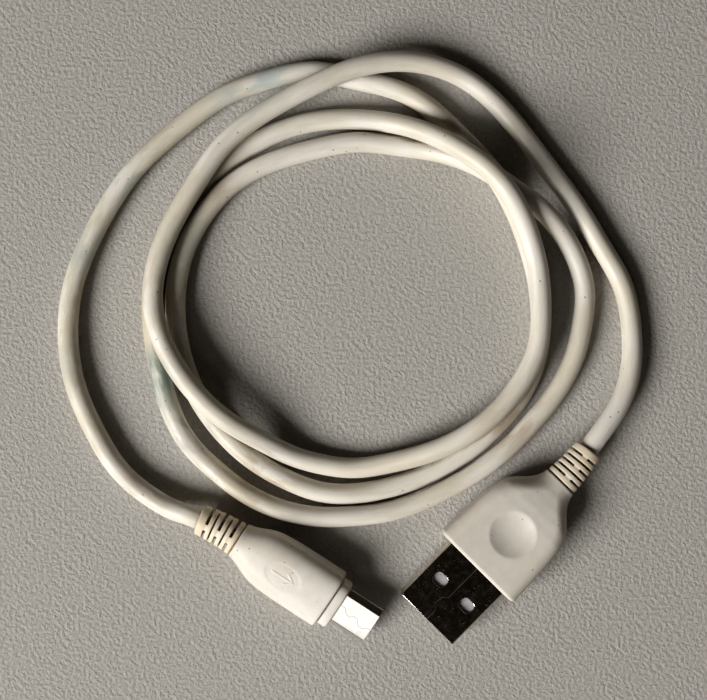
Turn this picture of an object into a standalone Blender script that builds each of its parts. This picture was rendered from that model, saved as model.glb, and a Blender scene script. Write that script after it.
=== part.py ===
"""A charging and data cable: a full-size USB plug, a micro-B plug and the loosely wound lead.

The full-size plug lies flat on the surface z = 0 and points along +X, with the middle of its length
and width at the origin. The lead leaves its back, winds about three and a half times around beside it
and ends in the micro-B plug. Inside each plug are the insulator, the contacts, the leads, the crimp
ring and the inner mould of the real thing. The micro-B plug's latch springs and its contacts move:
each has its origin on the axis that it bends about.
"""
import math

import bmesh
import bpy
from mathutils import Matrix, Vector

MM = 0.001
GAP = 0.3 * MM          # left between pieces that touch on the real object
FINE_GAP = 0.12 * MM    # the same, between the small pieces inside the micro-B shell
OVERCUT = 0.1 * MM      # how far one hollow reaches into the next

# The lead
CABLE_D = 3.4 * MM
CABLE_POINTS = 80
CABLE_REST_Z = CABLE_D / 2 + 0.05 * MM
CORE_POINTS = 10

# Full-size plug, stations along X from the middle of its length
A_LENGTH = 38.4 * MM
A_SHELL_SHOWN = 11.7 * MM
A_GRIP_LENGTH = 19.5 * MM
A_RELIEF_LENGTH = A_LENGTH - A_SHELL_SHOWN - A_GRIP_LENGTH
A_FRONT = A_LENGTH / 2
A_GRIP_FRONT = A_FRONT - A_SHELL_SHOWN
A_GRIP_BACK = A_GRIP_FRONT - A_GRIP_LENGTH
A_HEIGHT = 8.0 * MM
A_AXIS_Z = A_HEIGHT / 2
A_SHELL = (18.7 * MM, 12.0 * MM, 4.5 * MM)      # length, width, height
A_SHELL_WALL = 0.3 * MM
A_SHELL_ROUND = 0.6 * MM
A_WINDOW = (2.3 * MM, 2.5 * MM)                 # along, across
A_WINDOW_BEHIND = 6.1 * MM
A_WINDOW_APART = 6.0 * MM
A_INSULATOR_THICK = 1.85 * MM
A_INSULATOR_FRONT = 0.9 * MM                    # behind the mouth, as the next three are
A_INSULATOR_BACK = 16.0 * MM
A_CONTACT_FRONTS = (1.8 * MM, 2.8 * MM, 2.8 * MM, 1.8 * MM)   # the outer two mate first
A_CONTACT_BACK = 18.4 * MM
A_INSULATOR_LIP = 0.5 * MM
A_CONTACT_PITCH = 2.25 * MM
A_CONTACT_WIDTH = 1.0 * MM
A_CONTACT_THICK = 0.3 * MM
A_LEAD_D = 0.9 * MM
A_LEAD_APART = 0.52 * MM                        # half the way between cores, where they meet
A_DISH_D = 7.8 * MM
A_DISH_DEPTH = 0.65 * MM
A_DISH_BEHIND = 8.0 * MM
A_INNER = (6.4 * MM, 12.4 * MM, 5.2 * MM)       # inner mould: length, width, height
A_INNER_WALL = 0.7 * MM
A_CAN_WALL = 0.25 * MM
A_CRIMP_BEHIND = (2.4 * MM, 5.4 * MM)           # the ring's front and back, behind the inner mould
A_CRIMP_D = CABLE_D + 2 * GAP + 0.8 * MM

# Sections down the grip, in millimetres: (behind its front, width, height, corner radius)
A_GRIP_SECTIONS = [
    (0.0, 15.3, 7.2, 1.7), (0.12, 15.75, 7.65, 1.85), (0.4, 16.1, 8.0, 2.0), (5.0, 15.75, 8.0, 2.0),
    (9.0, 15.3, 8.0, 2.1), (11.2, 14.8, 8.0, 2.2), (12.4, 14.3, 7.9, 2.35), (13.5, 13.6, 7.8, 2.5),
    (14.4, 12.6, 7.6, 2.7), (15.2, 11.3, 7.4, 2.9), (16.1, 9.6, 7.1, 3.0), (17.0, 8.0, 6.8, 3.0),
    (18.0, 6.75, 6.35, 2.9), (19.0, 6.1, 6.0, 2.85), (19.5, 6.0, 5.9, 2.85),
]

# Strain reliefs
RELIEF_BORE = CABLE_D + 2 * GAP
A_RELIEF_D = (5.7 * MM, 4.75 * MM)              # at the grip, at the end
A_RELIEF_TURN = math.radians(8)
B_RELIEF_D = (5.8 * MM, 5.0 * MM)
B_RELIEF_TURN = math.radians(11.5)
RELIEF_ROWS = 5
RELIEF_PITCH = 1.08 * MM
RELIEF_SLOT = 0.34 * MM
RELIEF_BRIDGE = 1.2 * MM
RELIEF_RINGS = 6
RELIEF_SIDES = 20
STRAIGHT_OUT = 2.0 * MM                         # the lead's straight start behind each relief

# Micro-B plug, stations along its own X from the front of its shell
B_SHELL_SHOWN = 6.4 * MM
B_COLLAR_LENGTH = 1.9 * MM
B_GRIP_LENGTH = 17.9 * MM
B_RELIEF_LENGTH = 7.0 * MM
B_COLLAR_FRONT = -B_SHELL_SHOWN
B_GRIP_FRONT = B_COLLAR_FRONT - B_COLLAR_LENGTH
B_GRIP_BACK = B_GRIP_FRONT - B_GRIP_LENGTH
B_COLLAR_SIZE = (8.4 * MM, 5.6 * MM)
B_SHELL_LENGTH = 11.0 * MM
B_SHELL_WIDE = 6.85 * MM
B_SHELL_NARROW = 5.0 * MM
B_SHELL_HEIGHT = 1.8 * MM
B_SHELL_WALL = 0.2 * MM
B_SHELL_EASE = 0.18 * MM                        # rounding of the shell's corners
B_CONTACT_PITCH = 0.65 * MM
B_CONTACT_WIDTH = 0.32 * MM
B_CONTACT_THICK = 0.15 * MM
B_LATCH_SIDE = 2.55 * MM
B_LATCH_WIDTH = 0.6 * MM
B_LATCH_THICK = 0.2 * MM
B_LATCH_LENGTH = 7.0 * MM
B_LATCH_HOOK = (1.3 * MM, 0.95 * MM)            # length of the hook, drop below the arm
B_LATCH_FRONT = 1.9 * MM                        # behind the mouth
B_LATCH_ROOT = 1.6 * MM                         # how far the arm goes on behind its hinge
B_CEILING = B_SHELL_HEIGHT / 2 - B_SHELL_WALL - FINE_GAP    # top of the insulator
B_INSULATOR_LOW = B_CEILING - 0.62 * MM
B_INSULATOR_X = (-10.4 * MM, -1.0 * MM)
B_INSULATOR_WIDTH = 4.0 * MM
B_CONTACT_Z = B_INSULATOR_LOW + 0.2 * MM
B_CONTACT_HINGE_X = -7.2 * MM
B_CONTACT_ROOT = 3.9 * MM                       # how far a contact goes on behind its hinge
B_CONTACT_TIPS = (1.9 * MM, 2.3 * MM, 2.3 * MM, 2.3 * MM, 1.9 * MM)     # behind the mouth
B_CONTACT_BUMP = (0.7 * MM, 1.0 * MM, 0.32 * MM)    # behind the tip, half length, depth
B_CORE_SIZE = (8.0 * MM, 4.8 * MM)              # inner mould inside the grip: width, height
B_CORE_BACK = -17.0 * MM
B_CORE_SQUARENESS = 3.2
B_LEAD_ROOM = (6.6 * MM, 3.4 * MM)              # the core's hollow round the leads: width, height
B_CORES_BORE = 2.6 * MM                         # the hole in the core's back that they leave by
B_LEAD_D = 0.66 * MM
B_LEAD_APART = 0.5 * MM
B_LEAD_Z = 0.1 * MM
B_CRIMP_BEHIND = (2.0 * MM, 4.6 * MM)
B_CRIMP_D = CABLE_D + 2 * GAP + 0.6 * MM

# Sections down the grip, in millimetres: (behind its front, width, height, squareness)
B_GRIP_SECTIONS = [
    (0.0, 9.7, 6.5, 3.0), (0.12, 10.0, 6.8, 3.0), (0.4, 10.2, 6.95, 3.0), (4.0, 10.3, 7.0, 2.8),
    (8.0, 10.35, 7.0, 2.6), (11.0, 10.1, 6.95, 2.5), (12.6, 9.7, 6.85, 2.45), (13.9, 9.0, 6.7, 2.4),
    (15.0, 8.1, 6.5, 2.3), (16.0, 7.2, 6.25, 2.2), (17.0, 6.5, 6.05, 2.1), (17.9, 6.1, 5.95, 2.0),
]

# Where the micro-B plug lies: the back end of its grip, in the winding's frame
B_GRIP_BACK_AT = (-18.9 * MM, -31.3 * MM)
B_HEADING = math.radians(-33.0)
B_ROLL = math.radians(12.0)
B_AXIS_Z = 3.82 * MM

# The winding's frame: X to the right and Y up as it is looked at from above, origin in its middle.
# The full-size plug's own frame lies in it here, and points this way.
A_PLUG_AT = Vector((25.5 * MM, -30.3 * MM, 0.0))
A_HEADING = math.radians(225.2)

# The lead's route in millimetres, in the winding's frame, from the full-size plug to the micro-B plug
ROUTE_UP_THE_RIGHT_AND_OVER = [
    (44.3, -8.2, 3.1), (46.0, -2.6, 2.4), (46.1, 3.6, 1.95), (44.5, 11.2, 1.75),
    (41.6, 16.4, 1.75), (37.4, 23.3, 1.75), (32.0, 30.6, 1.75), (25.7, 38.7, 1.75), (18.4, 45.0, 2.2),
    (9.1, 47.5, 3.8), (0.1, 46.1, 5.35), (-6.1, 43.5, 5.6), (-13.5, 39.6, 5.5), (-20.9, 34.0, 5.5),
    (-25.8, 27.3, 5.5), (-29.8, 20.3, 5.5), (-32.3, 13.4, 5.5), (-32.8, 7.4, 5.5), (-31.5, 2.0, 5.5),
    (-28.7, -3.3, 5.5), (-26.1, -6.7, 5.5),
]
ROUTE_INNER_TURN = [
    (-20.9, -11.5, 5.2), (-15.4, -14.8, 3.8), (-10.0, -17.6, 2.2), (-4.7, -19.1, 1.75),
    (0.1, -19.6, 1.75), (6.0, -18.7, 2.5), (11.8, -17.1, 3.8), (18.0, -14.3, 4.8), (23.3, -10.3, 5.4),
    (27.2, -5.6, 5.5), (30.0, 0.0, 5.45), (30.7, 6.5, 5.45), (30.2, 13.1, 5.6), (28.7, 18.5, 6.8),
    (24.9, 25.6, 9.3), (21.7, 29.3, 9.0), (17.6, 32.4, 7.8), (12.5, 35.4, 5.3), (7.3, 37.3, 3.1),
    (0.1, 38.3, 1.9), (-6.2, 38.0, 1.75), (-13.7, 35.7, 1.75), (-19.0, 32.8, 1.75),
]
ROUTE_OUTER_TURN = [
    (-24.1, 29.2, 1.75), (-28.6, 23.8, 1.75), (-32.0, 16.8, 1.75), (-33.5, 8.3, 1.75),
    (-33.1, 1.7, 1.75), (-31.6, -6.0, 1.75), (-27.5, -15.3, 1.75), (-23.3, -19.6, 1.75),
    (-18.5, -23.4, 1.75), (-12.9, -26.2, 1.75), (-6.6, -27.6, 1.75), (-0.1, -27.6, 1.75),
    (7.4, -26.4, 1.75), (14.9, -23.3, 1.75), (22.7, -18.6, 1.75), (29.6, -12.1, 1.75),
    (33.6, -7.0, 1.75), (36.6, -1.3, 1.75), (38.1, 5.0, 1.75), (38.4, 10.0, 1.75), (37.0, 14.9, 2.2),
    (34.0, 19.8, 3.8), (30.7, 23.1, 5.2), (26.4, 26.2, 5.6),
]
ROUTE_MIDDLE_TURN = [
    (22.0, 29.2, 5.5), (14.8, 32.5, 3.0), (7.4, 33.9, 1.75), (0.1, 34.5, 1.75), (-6.2, 33.4, 1.75),
    (-12.5, 31.6, 1.75), (-19.5, 28.1, 1.75), (-24.7, 22.7, 1.75), (-28.1, 16.3, 1.75),
    (-29.6, 8.3, 1.75), (-29.0, 1.0, 1.75), (-26.7, -6.1, 1.75), (-22.8, -12.3, 1.75),
    (-17.5, -17.6, 1.75), (-11.5, -21.3, 1.75), (-5.2, -23.6, 1.75), (1.4, -23.7, 1.75),
    (9.2, -21.8, 1.75), (16.8, -18.1, 1.75), (22.6, -13.7, 1.75), (27.3, -8.3, 1.75),
    (30.5, -0.8, 1.75), (31.1, 5.8, 1.75), (30.5, 11.6, 1.75), (29.0, 17.4, 1.75), (26.2, 24.4, 1.75),
]
ROUTE_OUT_TO_THE_LEFT = [
    (22.2, 30.7, 1.75), (16.9, 36.2, 1.75), (11.2, 41.2, 1.75), (5.6, 43.7, 1.75), (-0.1, 45.0, 1.75),
    (-6.2, 46.2, 1.75), (-13.7, 45.0, 1.75), (-21.2, 42.3, 1.75), (-28.6, 37.2, 1.75),
    (-36.3, 30.1, 1.75), (-42.9, 19.9, 1.75), (-46.4, 11.3, 1.75), (-47.4, 1.8, 1.75),
    (-45.9, -6.8, 1.75), (-43.1, -13.2, 1.75), (-39.9, -18.6, 1.75), (-36.3, -22.4, 1.9),
    (-32.7, -24.9, 2.4), (-29.2, -26.6, 3.1),
]
ROUTE = (ROUTE_UP_THE_RIGHT_AND_OVER + ROUTE_INNER_TURN + ROUTE_OUTER_TURN
         + ROUTE_MIDDLE_TURN + ROUTE_OUT_TO_THE_LEFT)


# ---------------------------------------------------------------- helpers

def clear_scene():
    for obj in list(bpy.data.objects):
        bpy.data.objects.remove(obj, do_unlink=True)


def material(name, colour, roughness, metallic=0.0):
    made = bpy.data.materials.new(name)
    made.use_nodes = True
    shader = made.node_tree.nodes["Principled BSDF"]
    shader.inputs["Base Color"].default_value = (*colour, 1.0)
    shader.inputs["Roughness"].default_value = roughness
    shader.inputs["Metallic"].default_value = metallic
    made.diffuse_color = (*colour, 1.0)
    return made


def empty(name, matrix, parent=None):
    made = bpy.data.objects.new(name, None)
    bpy.context.scene.collection.objects.link(made)
    made.parent = parent
    made.matrix_basis = matrix
    return made


def from_bmesh(name, bm, look, parent, at=(0.0, 0.0, 0.0), smooth=None):
    """Links a mesh object; smooth is the angle up to which its edges are shaded smooth."""
    bmesh.ops.recalc_face_normals(bm, faces=bm.faces)
    mesh = bpy.data.meshes.new(name)
    bm.to_mesh(mesh)
    bm.free()
    if smooth:
        mesh.shade_smooth()
        mesh.set_sharp_from_angle(angle=math.radians(smooth))
    if look:
        mesh.materials.append(look)
    made = bpy.data.objects.new(name, mesh)
    bpy.context.scene.collection.objects.link(made)
    made.parent = parent
    made.location = at
    return made


def ring_of(bm, points):
    return [bm.verts.new(p) for p in points]


def loft_into(bm, rings):
    """Closed skin through rings of equal point count, with a flat cap at each end."""
    rows = [ring_of(bm, ring) for ring in rings]
    count = len(rows[0])
    for low, high in zip(rows, rows[1:]):
        for i in range(count):
            j = (i + 1) % count
            bm.faces.new((low[i], low[j], high[j], high[i]))
    bm.faces.new(rows[0][::-1])
    bm.faces.new(rows[-1])


def rounded_box_outline(width, height, radius, steps=4):
    """(y, z) points of a rounded rectangle about the origin."""
    points = []
    for corner in range(4):
        cy = (width / 2 - radius) * (1, -1, -1, 1)[corner]
        cz = (height / 2 - radius) * (1, 1, -1, -1)[corner]
        for step in range(steps + 1):
            angle = math.pi / 2 * (corner + step / steps)
            points.append((cy + radius * math.cos(angle), cz + radius * math.sin(angle)))
    return points


def circle_outline(diameter, count):
    return [(diameter / 2 * math.cos(2 * math.pi * i / count),
             diameter / 2 * math.sin(2 * math.pi * i / count)) for i in range(count)]


def squircle_outline(width, height, power, count=32):
    """(y, z) points of a superellipse: power 2 is an ellipse, and a higher power is squarer."""
    points = []
    for i in range(count):
        c, s = math.cos(2 * math.pi * i / count), math.sin(2 * math.pi * i / count)
        points.append((width / 2 * math.copysign(abs(c) ** (2 / power), c),
                       height / 2 * math.copysign(abs(s) ** (2 / power), s)))
    return points


def at_x(x, outline, y=0.0, z=0.0):
    return [(x, y + a, z + b) for a, b in outline]


def prism(bm, outline, x0, x1, y=0.0, z=0.0):
    loft_into(bm, [at_x(x0, outline, y, z), at_x(x1, outline, y, z)])


def slab(bm, profile, y0, y1):
    """Closed solid of an (x, z) outline between two values of y."""
    left = ring_of(bm, [(x, y0, z) for x, z in profile])
    right = ring_of(bm, [(x, y1, z) for x, z in profile])
    for i in range(len(profile)):
        j = (i + 1) % len(profile)
        bm.faces.new((left[i], left[j], right[j], right[i]))
    bm.faces.new(left[::-1])
    bm.faces.new(right)


def box(bm, low, high):
    made = bmesh.ops.create_cube(bm, size=1.0)["verts"]
    size = Vector(high) - Vector(low)
    middle = (Vector(high) + Vector(low)) / 2
    bmesh.ops.scale(bm, verts=made, vec=size)
    bmesh.ops.translate(bm, verts=made, vec=middle)
    return made


def cutter(name, bm, parent):
    made = from_bmesh(name, bm, None, parent)
    made.hide_render = True
    made.display_type = "WIRE"
    return made


def cut(target, tool):
    modifier = target.modifiers.new("cut_" + tool.name, "BOOLEAN")
    modifier.operation = "DIFFERENCE"
    modifier.solver = "EXACT"
    modifier.object = tool


def bore_out(target, name, outline, x0, x1):
    """Cuts a straight hollow of that (y, z) outline from station x0 to station x1."""
    bm = bmesh.new()
    prism(bm, outline, x0, x1)
    cut(target, cutter(f"{target.name}_{name}", bm, target.parent))


def spline_through(points):
    """A function of distance for the natural cubic spline through points, and its whole length."""
    count = len(points)
    knots = [0.0]
    for a, b in zip(points, points[1:]):
        knots.append(knots[-1] + (b - a).length)
    steps = [b - a for a, b in zip(knots, knots[1:])]
    # Thomas algorithm for the second derivatives, which are zero at both ends
    upper, right = [0.0] * count, [Vector((0.0, 0.0, 0.0)) for _ in points]
    for i in range(1, count - 1):
        slope = (points[i + 1] - points[i]) / steps[i] - (points[i] - points[i - 1]) / steps[i - 1]
        pivot = 2 * (steps[i - 1] + steps[i]) - steps[i - 1] * upper[i - 1]
        upper[i] = steps[i] / pivot
        right[i] = (6 * slope - steps[i - 1] * right[i - 1]) / pivot
    curve = [Vector((0.0, 0.0, 0.0)) for _ in points]
    for i in range(count - 2, 0, -1):
        curve[i] = right[i] - upper[i] * curve[i + 1]

    def place(t):
        i = 0
        while i < count - 2 and t > knots[i + 1]:
            i += 1
        h = steps[i]
        u, w = t - knots[i], knots[i + 1] - t
        return (curve[i] * w ** 3 / (6 * h) + curve[i + 1] * u ** 3 / (6 * h)
                + (points[i] / h - curve[i] * h / 6) * w
                + (points[i + 1] / h - curve[i + 1] * h / 6) * u)

    return place, knots[-1]


def evenly_spaced(points, count):
    """count points at equal distances along the smooth curve through points."""
    place, length = spline_through(points)
    fine = [place(length * i / (count * 20)) for i in range(count * 20 + 1)]
    along = [0.0]
    for a, b in zip(fine, fine[1:]):
        along.append(along[-1] + (b - a).length)
    made, i = [], 0
    for k in range(count):
        goal = along[-1] * k / (count - 1)
        while i < len(fine) - 2 and along[i + 1] < goal:
            i += 1
        share = (goal - along[i]) / (along[i + 1] - along[i])
        made.append(fine[i].lerp(fine[i + 1], share))
    return made


def tube(name, points, diameter, look, parent=None, resolution=2):
    """A round tube as a curve object with filled caps, through points in metres."""
    data = bpy.data.curves.new(name, "CURVE")
    data.dimensions = "3D"
    data.bevel_depth = diameter / 2
    data.bevel_resolution = resolution
    data.use_fill_caps = True
    line = data.splines.new("POLY")
    line.points.add(len(points) - 1)
    for point, place in zip(line.points, points):
        point.co = (*place, 1.0)
    line.use_smooth = True
    data.materials.append(look)
    made = bpy.data.objects.new(name, data)
    bpy.context.scene.collection.objects.link(made)
    made.parent = parent
    return made


# ---------------------------------------------------------------- materials

def make_materials():
    return {
        "grip": material("grip_soft_plastic", (0.56, 0.52, 0.46), 0.5),
        "cream": material("cream_soft_plastic", (0.66, 0.60, 0.51), 0.5),
        "jacket": material("jacket_soft_plastic", (0.66, 0.62, 0.56), 0.42),
        "steel": material("nickel_plated_steel", (0.62, 0.60, 0.57), 0.22, 1.0),
        "insulator": material("white_insulator", (0.80, 0.80, 0.80), 0.4),
        "gold": material("gold_plated_contact", (0.83, 0.62, 0.26), 0.25, 1.0),
        "mould": material("milky_inner_mould", (0.72, 0.70, 0.64), 0.5),
        "red": material("red_insulation", (0.55, 0.03, 0.02), 0.4),
        "white": material("white_insulation", (0.78, 0.78, 0.75), 0.4),
        "green": material("green_insulation", (0.03, 0.30, 0.06), 0.4),
        "black": material("black_insulation", (0.02, 0.02, 0.02), 0.4),
    }


# ---------------------------------------------------------------- strain reliefs

def relief_frame(distance, length, turn, back):
    """Where a relief's centreline is at that distance behind the grip: it bends evenly by turn."""
    angle = turn * distance / length
    reach = length / turn
    return (Matrix.Translation((back - reach * math.sin(angle), reach * (math.cos(angle) - 1.0), 0.0))
            @ Matrix.Rotation(angle, 4, "Z"))


def strain_relief(name, parent, look, length, diameters, turn, back):
    """A tapered sleeve round the lead, with rows of slots by turns through its sides and its faces."""
    bm = bmesh.new()
    outer, inner = [], []
    for i in range(RELIEF_RINGS):
        share = i / (RELIEF_RINGS - 1)
        frame = relief_frame(share * length, length, turn, back)
        diameter = diameters[0] + (diameters[1] - diameters[0]) * share
        for rings, across in ((outer, diameter), (inner, RELIEF_BORE)):
            outline = circle_outline(across, RELIEF_SIDES)
            rings.append([frame @ Vector(p) for p in at_x(0.0, outline)])
    rows = [ring_of(bm, ring) for ring in outer + inner[::-1]]
    for k, low in enumerate(rows):
        high = rows[(k + 1) % len(rows)]
        for i in range(RELIEF_SIDES):
            j = (i + 1) % RELIEF_SIDES
            bm.faces.new((low[i], low[j], high[j], high[i]))
    sleeve = from_bmesh(name, bm, look, parent, smooth=40)

    bm = bmesh.new()
    half, start, reach = RELIEF_SLOT / 2, RELIEF_BRIDGE / 2, diameters[0]
    for row in range(RELIEF_ROWS):
        frame = relief_frame((row + 1) * RELIEF_PITCH, length, turn, back)
        low = (-half, -reach, start) if row % 2 else (-half, start, -reach)
        for side in (-1, 1):
            verts = box(bm, low, (half, reach, reach))
            if side < 0:
                bmesh.ops.rotate(bm, verts=verts, matrix=Matrix.Rotation(math.pi, 3, "X"))
            bmesh.ops.transform(bm, matrix=frame, verts=verts)
    cut(sleeve, cutter(name + "_slots", bm, parent))
    return sleeve


# ---------------------------------------------------------------- full-size plug

def a_behind(distance):
    """The station this far behind the full-size plug's mouth."""
    return A_FRONT - distance


def make_a_shell(parent, look):
    length, width, height = A_SHELL
    bm = bmesh.new()
    outer = rounded_box_outline(width, height, A_SHELL_ROUND)
    prism(bm, outer, a_behind(length), A_FRONT)
    shell = from_bmesh("usb_a_shell", bm, look, parent, smooth=30)
    inner = rounded_box_outline(width - 2 * A_SHELL_WALL, height - 2 * A_SHELL_WALL,
                                A_SHELL_ROUND - A_SHELL_WALL)
    bore_out(shell, "hollow", inner, a_behind(length) - MM, A_FRONT + MM)
    bm = bmesh.new()
    for side in (-1, 1):
        x, y = a_behind(A_WINDOW_BEHIND), side * A_WINDOW_APART / 2
        box(bm, (x - A_WINDOW[0] / 2, y - A_WINDOW[1] / 2, -height),
            (x + A_WINDOW[0] / 2, y + A_WINDOW[1] / 2, height))
    cut(shell, cutter("usb_a_shell_windows", bm, parent))


def a_insulator_span():
    """Lowest and highest z of the insulator, which lies under the shell's upper face."""
    top = A_SHELL[2] / 2 - A_SHELL_WALL - GAP
    return top - A_INSULATOR_THICK, top


def make_a_insulator(parent, look):
    low, high = a_insulator_span()
    half_width = A_SHELL[1] / 2 - A_SHELL_WALL - GAP
    front, back = a_behind(A_INSULATOR_FRONT), a_behind(A_INSULATOR_BACK)
    profile = [(front, low + A_INSULATOR_LIP), (front, high), (back, high), (back, low),
               (front - A_INSULATOR_LIP, low)]
    bm = bmesh.new()
    slab(bm, profile, -half_width, half_width)
    block = from_bmesh("usb_a_insulator", bm, look, parent)
    bm = bmesh.new()
    half = A_CONTACT_WIDTH / 2 + GAP
    for k, behind in enumerate(A_CONTACT_FRONTS):
        y = a_contact_y(k)
        box(bm, (back - MM, y - half, low - MM),
            (a_behind(behind) + GAP, y + half, low + A_CONTACT_THICK + GAP))
    cut(block, cutter("usb_a_insulator_grooves", bm, parent))


def a_contact_y(k):
    """Where contact k lies across the plug, from power (0) to ground (3)."""
    return (1.5 - k) * A_CONTACT_PITCH


def make_a_contacts(parent, look):
    low, _ = a_insulator_span()
    half = A_CONTACT_WIDTH / 2
    names = ("power", "data_minus", "data_plus", "ground")
    for k, (name, behind) in enumerate(zip(names, A_CONTACT_FRONTS)):
        y = a_contact_y(k)
        bm = bmesh.new()
        box(bm, (a_behind(A_CONTACT_BACK), y - half, low),
            (a_behind(behind), y + half, low + A_CONTACT_THICK))
        bmesh.ops.bevel(bm, geom=list(bm.edges), offset=A_CONTACT_THICK / 5, segments=1, affect="EDGES")
        from_bmesh(f"usb_a_contact_{name}", bm, look, parent)


def a_inner_span():
    """Back and front stations of the inner mould, which starts behind the shell."""
    front = a_behind(A_SHELL[0]) - GAP
    return front - A_INNER[0], front


def make_a_inner_mould(parent, look):
    back, front = a_inner_span()
    _, width, height = A_INNER
    wall = A_INNER_WALL
    bm = bmesh.new()
    prism(bm, rounded_box_outline(width, height, 1.5 * wall, 3), back, front)
    mould = from_bmesh("usb_a_inner_mould", bm, look, parent, smooth=40)
    hollow = rounded_box_outline(width - 2 * wall, height - 2 * wall, 0.75 * wall, 2)
    bore_out(mould, "hollow", hollow, back + wall, front + MM)
    bore_out(mould, "bore", circle_outline(RELIEF_BORE, 20), back - MM, back + 1.5 * wall)


def make_a_shield_can(parent, look):
    """A folded steel sleeve round the soldered ends, inside the inner mould's hollow."""
    back, front = a_inner_span()
    back, front = back + A_INNER_WALL + GAP, front - GAP
    width, height = (size - 2 * A_INNER_WALL - 2 * GAP for size in A_INNER[1:])
    wall = A_CAN_WALL
    bm = bmesh.new()
    prism(bm, rounded_box_outline(width, height, 1.6 * wall, 2), back, front)
    can = from_bmesh("usb_a_shield_can", bm, look, parent, smooth=40)
    hollow = rounded_box_outline(width - 2 * wall, height - 2 * wall, 0.8 * wall, 2)
    bore_out(can, "hollow", hollow, back - MM, front + MM)


def cores(name, parent, looks, tails, leave_x, draw_x, meet_x, apart, diameter):
    """Four insulated cores, from their soldered tails to where they lie together in the lead.

    Each runs straight back to leave_x, draws in to draw_x and ends at meet_x, where each core's middle
    is at the corner of a square that reaches apart from the plug's axis.
    """
    for k, (colour, tail) in enumerate(zip(("red", "white", "green", "black"), tails)):
        corner = Vector((0.0, math.copysign(apart, tail.y), apart if k in (0, 3) else -apart))
        line = [tail, Vector((leave_x, tail.y, tail.z)), Vector((draw_x, 0.0, 0.0)) + 1.2 * corner,
                Vector((meet_x, 0.0, 0.0)) + corner]
        tube(f"{name}_lead_{colour}", evenly_spaced(line, CORE_POINTS), diameter, looks[colour], parent)


def crimp_ring(name, parent, look, diameter, back, front):
    bm = bmesh.new()
    prism(bm, circle_outline(diameter, 20), back, front)
    ring = from_bmesh(name, bm, look, parent, smooth=40)
    bore_out(ring, "bore", circle_outline(RELIEF_BORE, 20), back - MM, front + MM)


def jacket_end(name, parent, look, back, front):
    bm = bmesh.new()
    prism(bm, circle_outline(CABLE_D, 16), back, front)
    from_bmesh(name, bm, look, parent, smooth=40)


def make_a_wiring(parent, looks):
    """The four cores, the crimp ring and the jacket's end."""
    low, _ = a_insulator_span()
    back, _ = a_inner_span()
    solder_z = low - GAP - A_LEAD_D / 2
    tail_x = a_behind(A_CONTACT_BACK)
    meet_x = back - MM
    tails = [Vector((tail_x + 0.6 * MM, a_contact_y(k), solder_z)) for k in range(4)]
    cores("usb_a", parent, looks, tails, tail_x - 1.2 * MM, back + 1.7 * MM, meet_x,
          A_LEAD_APART, A_LEAD_D)
    crimp_ring("usb_a_crimp_ring", parent, looks["steel"], A_CRIMP_D,
               back - A_CRIMP_BEHIND[1], back - A_CRIMP_BEHIND[0])
    jacket_end("usb_a_jacket_end", parent, looks["jacket"], A_GRIP_BACK + GAP, meet_x - GAP)


def make_a_grip(parent, look):
    bm = bmesh.new()
    rings = []
    for behind, width, height, radius in A_GRIP_SECTIONS:
        outline = rounded_box_outline(width * MM, height * MM, radius * MM, 5)
        rings.append(at_x(A_GRIP_FRONT - behind * MM, outline))
    loft_into(bm, rings)
    grip = from_bmesh("usb_a_grip", bm, look, parent, smooth=35)

    # the hollow: the shell's room, the inner mould's, the crimp ring's and the lead's, each into the next
    mould_back, mould_front = a_inner_span()
    mould_back, mould_front = mould_back - GAP, mould_front + GAP
    ring_back = mould_back - A_CRIMP_BEHIND[1] - GAP
    shell_room = rounded_box_outline(A_SHELL[1] + 2 * GAP, A_SHELL[2] + 2 * GAP, A_SHELL_ROUND + GAP, 3)
    mould_room = rounded_box_outline(A_INNER[1] + 2 * GAP, A_INNER[2] + 2 * GAP, 1.5 * A_INNER_WALL + GAP, 3)
    bore_out(grip, "shell_room", shell_room, mould_front - OVERCUT, A_GRIP_FRONT + MM)
    bore_out(grip, "mould_room", mould_room, mould_back, mould_front)
    bore_out(grip, "crimp_room", circle_outline(A_CRIMP_D + 2 * GAP, 20), ring_back, mould_back + OVERCUT)
    bore_out(grip, "lead_room", circle_outline(RELIEF_BORE, 20), A_GRIP_BACK - MM, ring_back + OVERCUT)

    bm = bmesh.new()
    sphere_radius = ((A_DISH_D / 2) ** 2 + A_DISH_DEPTH ** 2) / (2 * A_DISH_DEPTH)
    edge_angle = math.asin(A_DISH_D / 2 / sphere_radius)
    for side in (-1, 1):
        dish(bm, Vector((A_GRIP_FRONT - A_DISH_BEHIND, 0.0, side * A_HEIGHT / 2)), side,
             sphere_radius, edge_angle)
    cut(grip, cutter("usb_a_grip_dishes", bm, parent))


def dish(bm, place, side, radius, edge_angle):
    """A shallow cap of a sphere that reaches into the face at place, closed by a lid outside it."""
    around, rings = 28, 4
    tip = bm.verts.new(place - Vector((0, 0, side * A_DISH_DEPTH)))
    centre = place + Vector((0, 0, side * (radius - A_DISH_DEPTH)))
    rows = []
    for k in range(1, rings + 2):
        angle = edge_angle * k / rings
        rows.append(ring_of(bm, [centre + Vector((radius * math.sin(angle) * math.cos(t),
                                                  radius * math.sin(angle) * math.sin(t),
                                                  -side * radius * math.cos(angle)))
                                 for t in (2 * math.pi * i / around for i in range(around))]))
    for i in range(around):
        j = (i + 1) % around
        bm.faces.new((tip, rows[0][i], rows[0][j]))
        for low, high in zip(rows, rows[1:]):
            bm.faces.new((low[i], high[i], high[j], low[j]))
    bm.faces.new(rows[-1])


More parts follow.
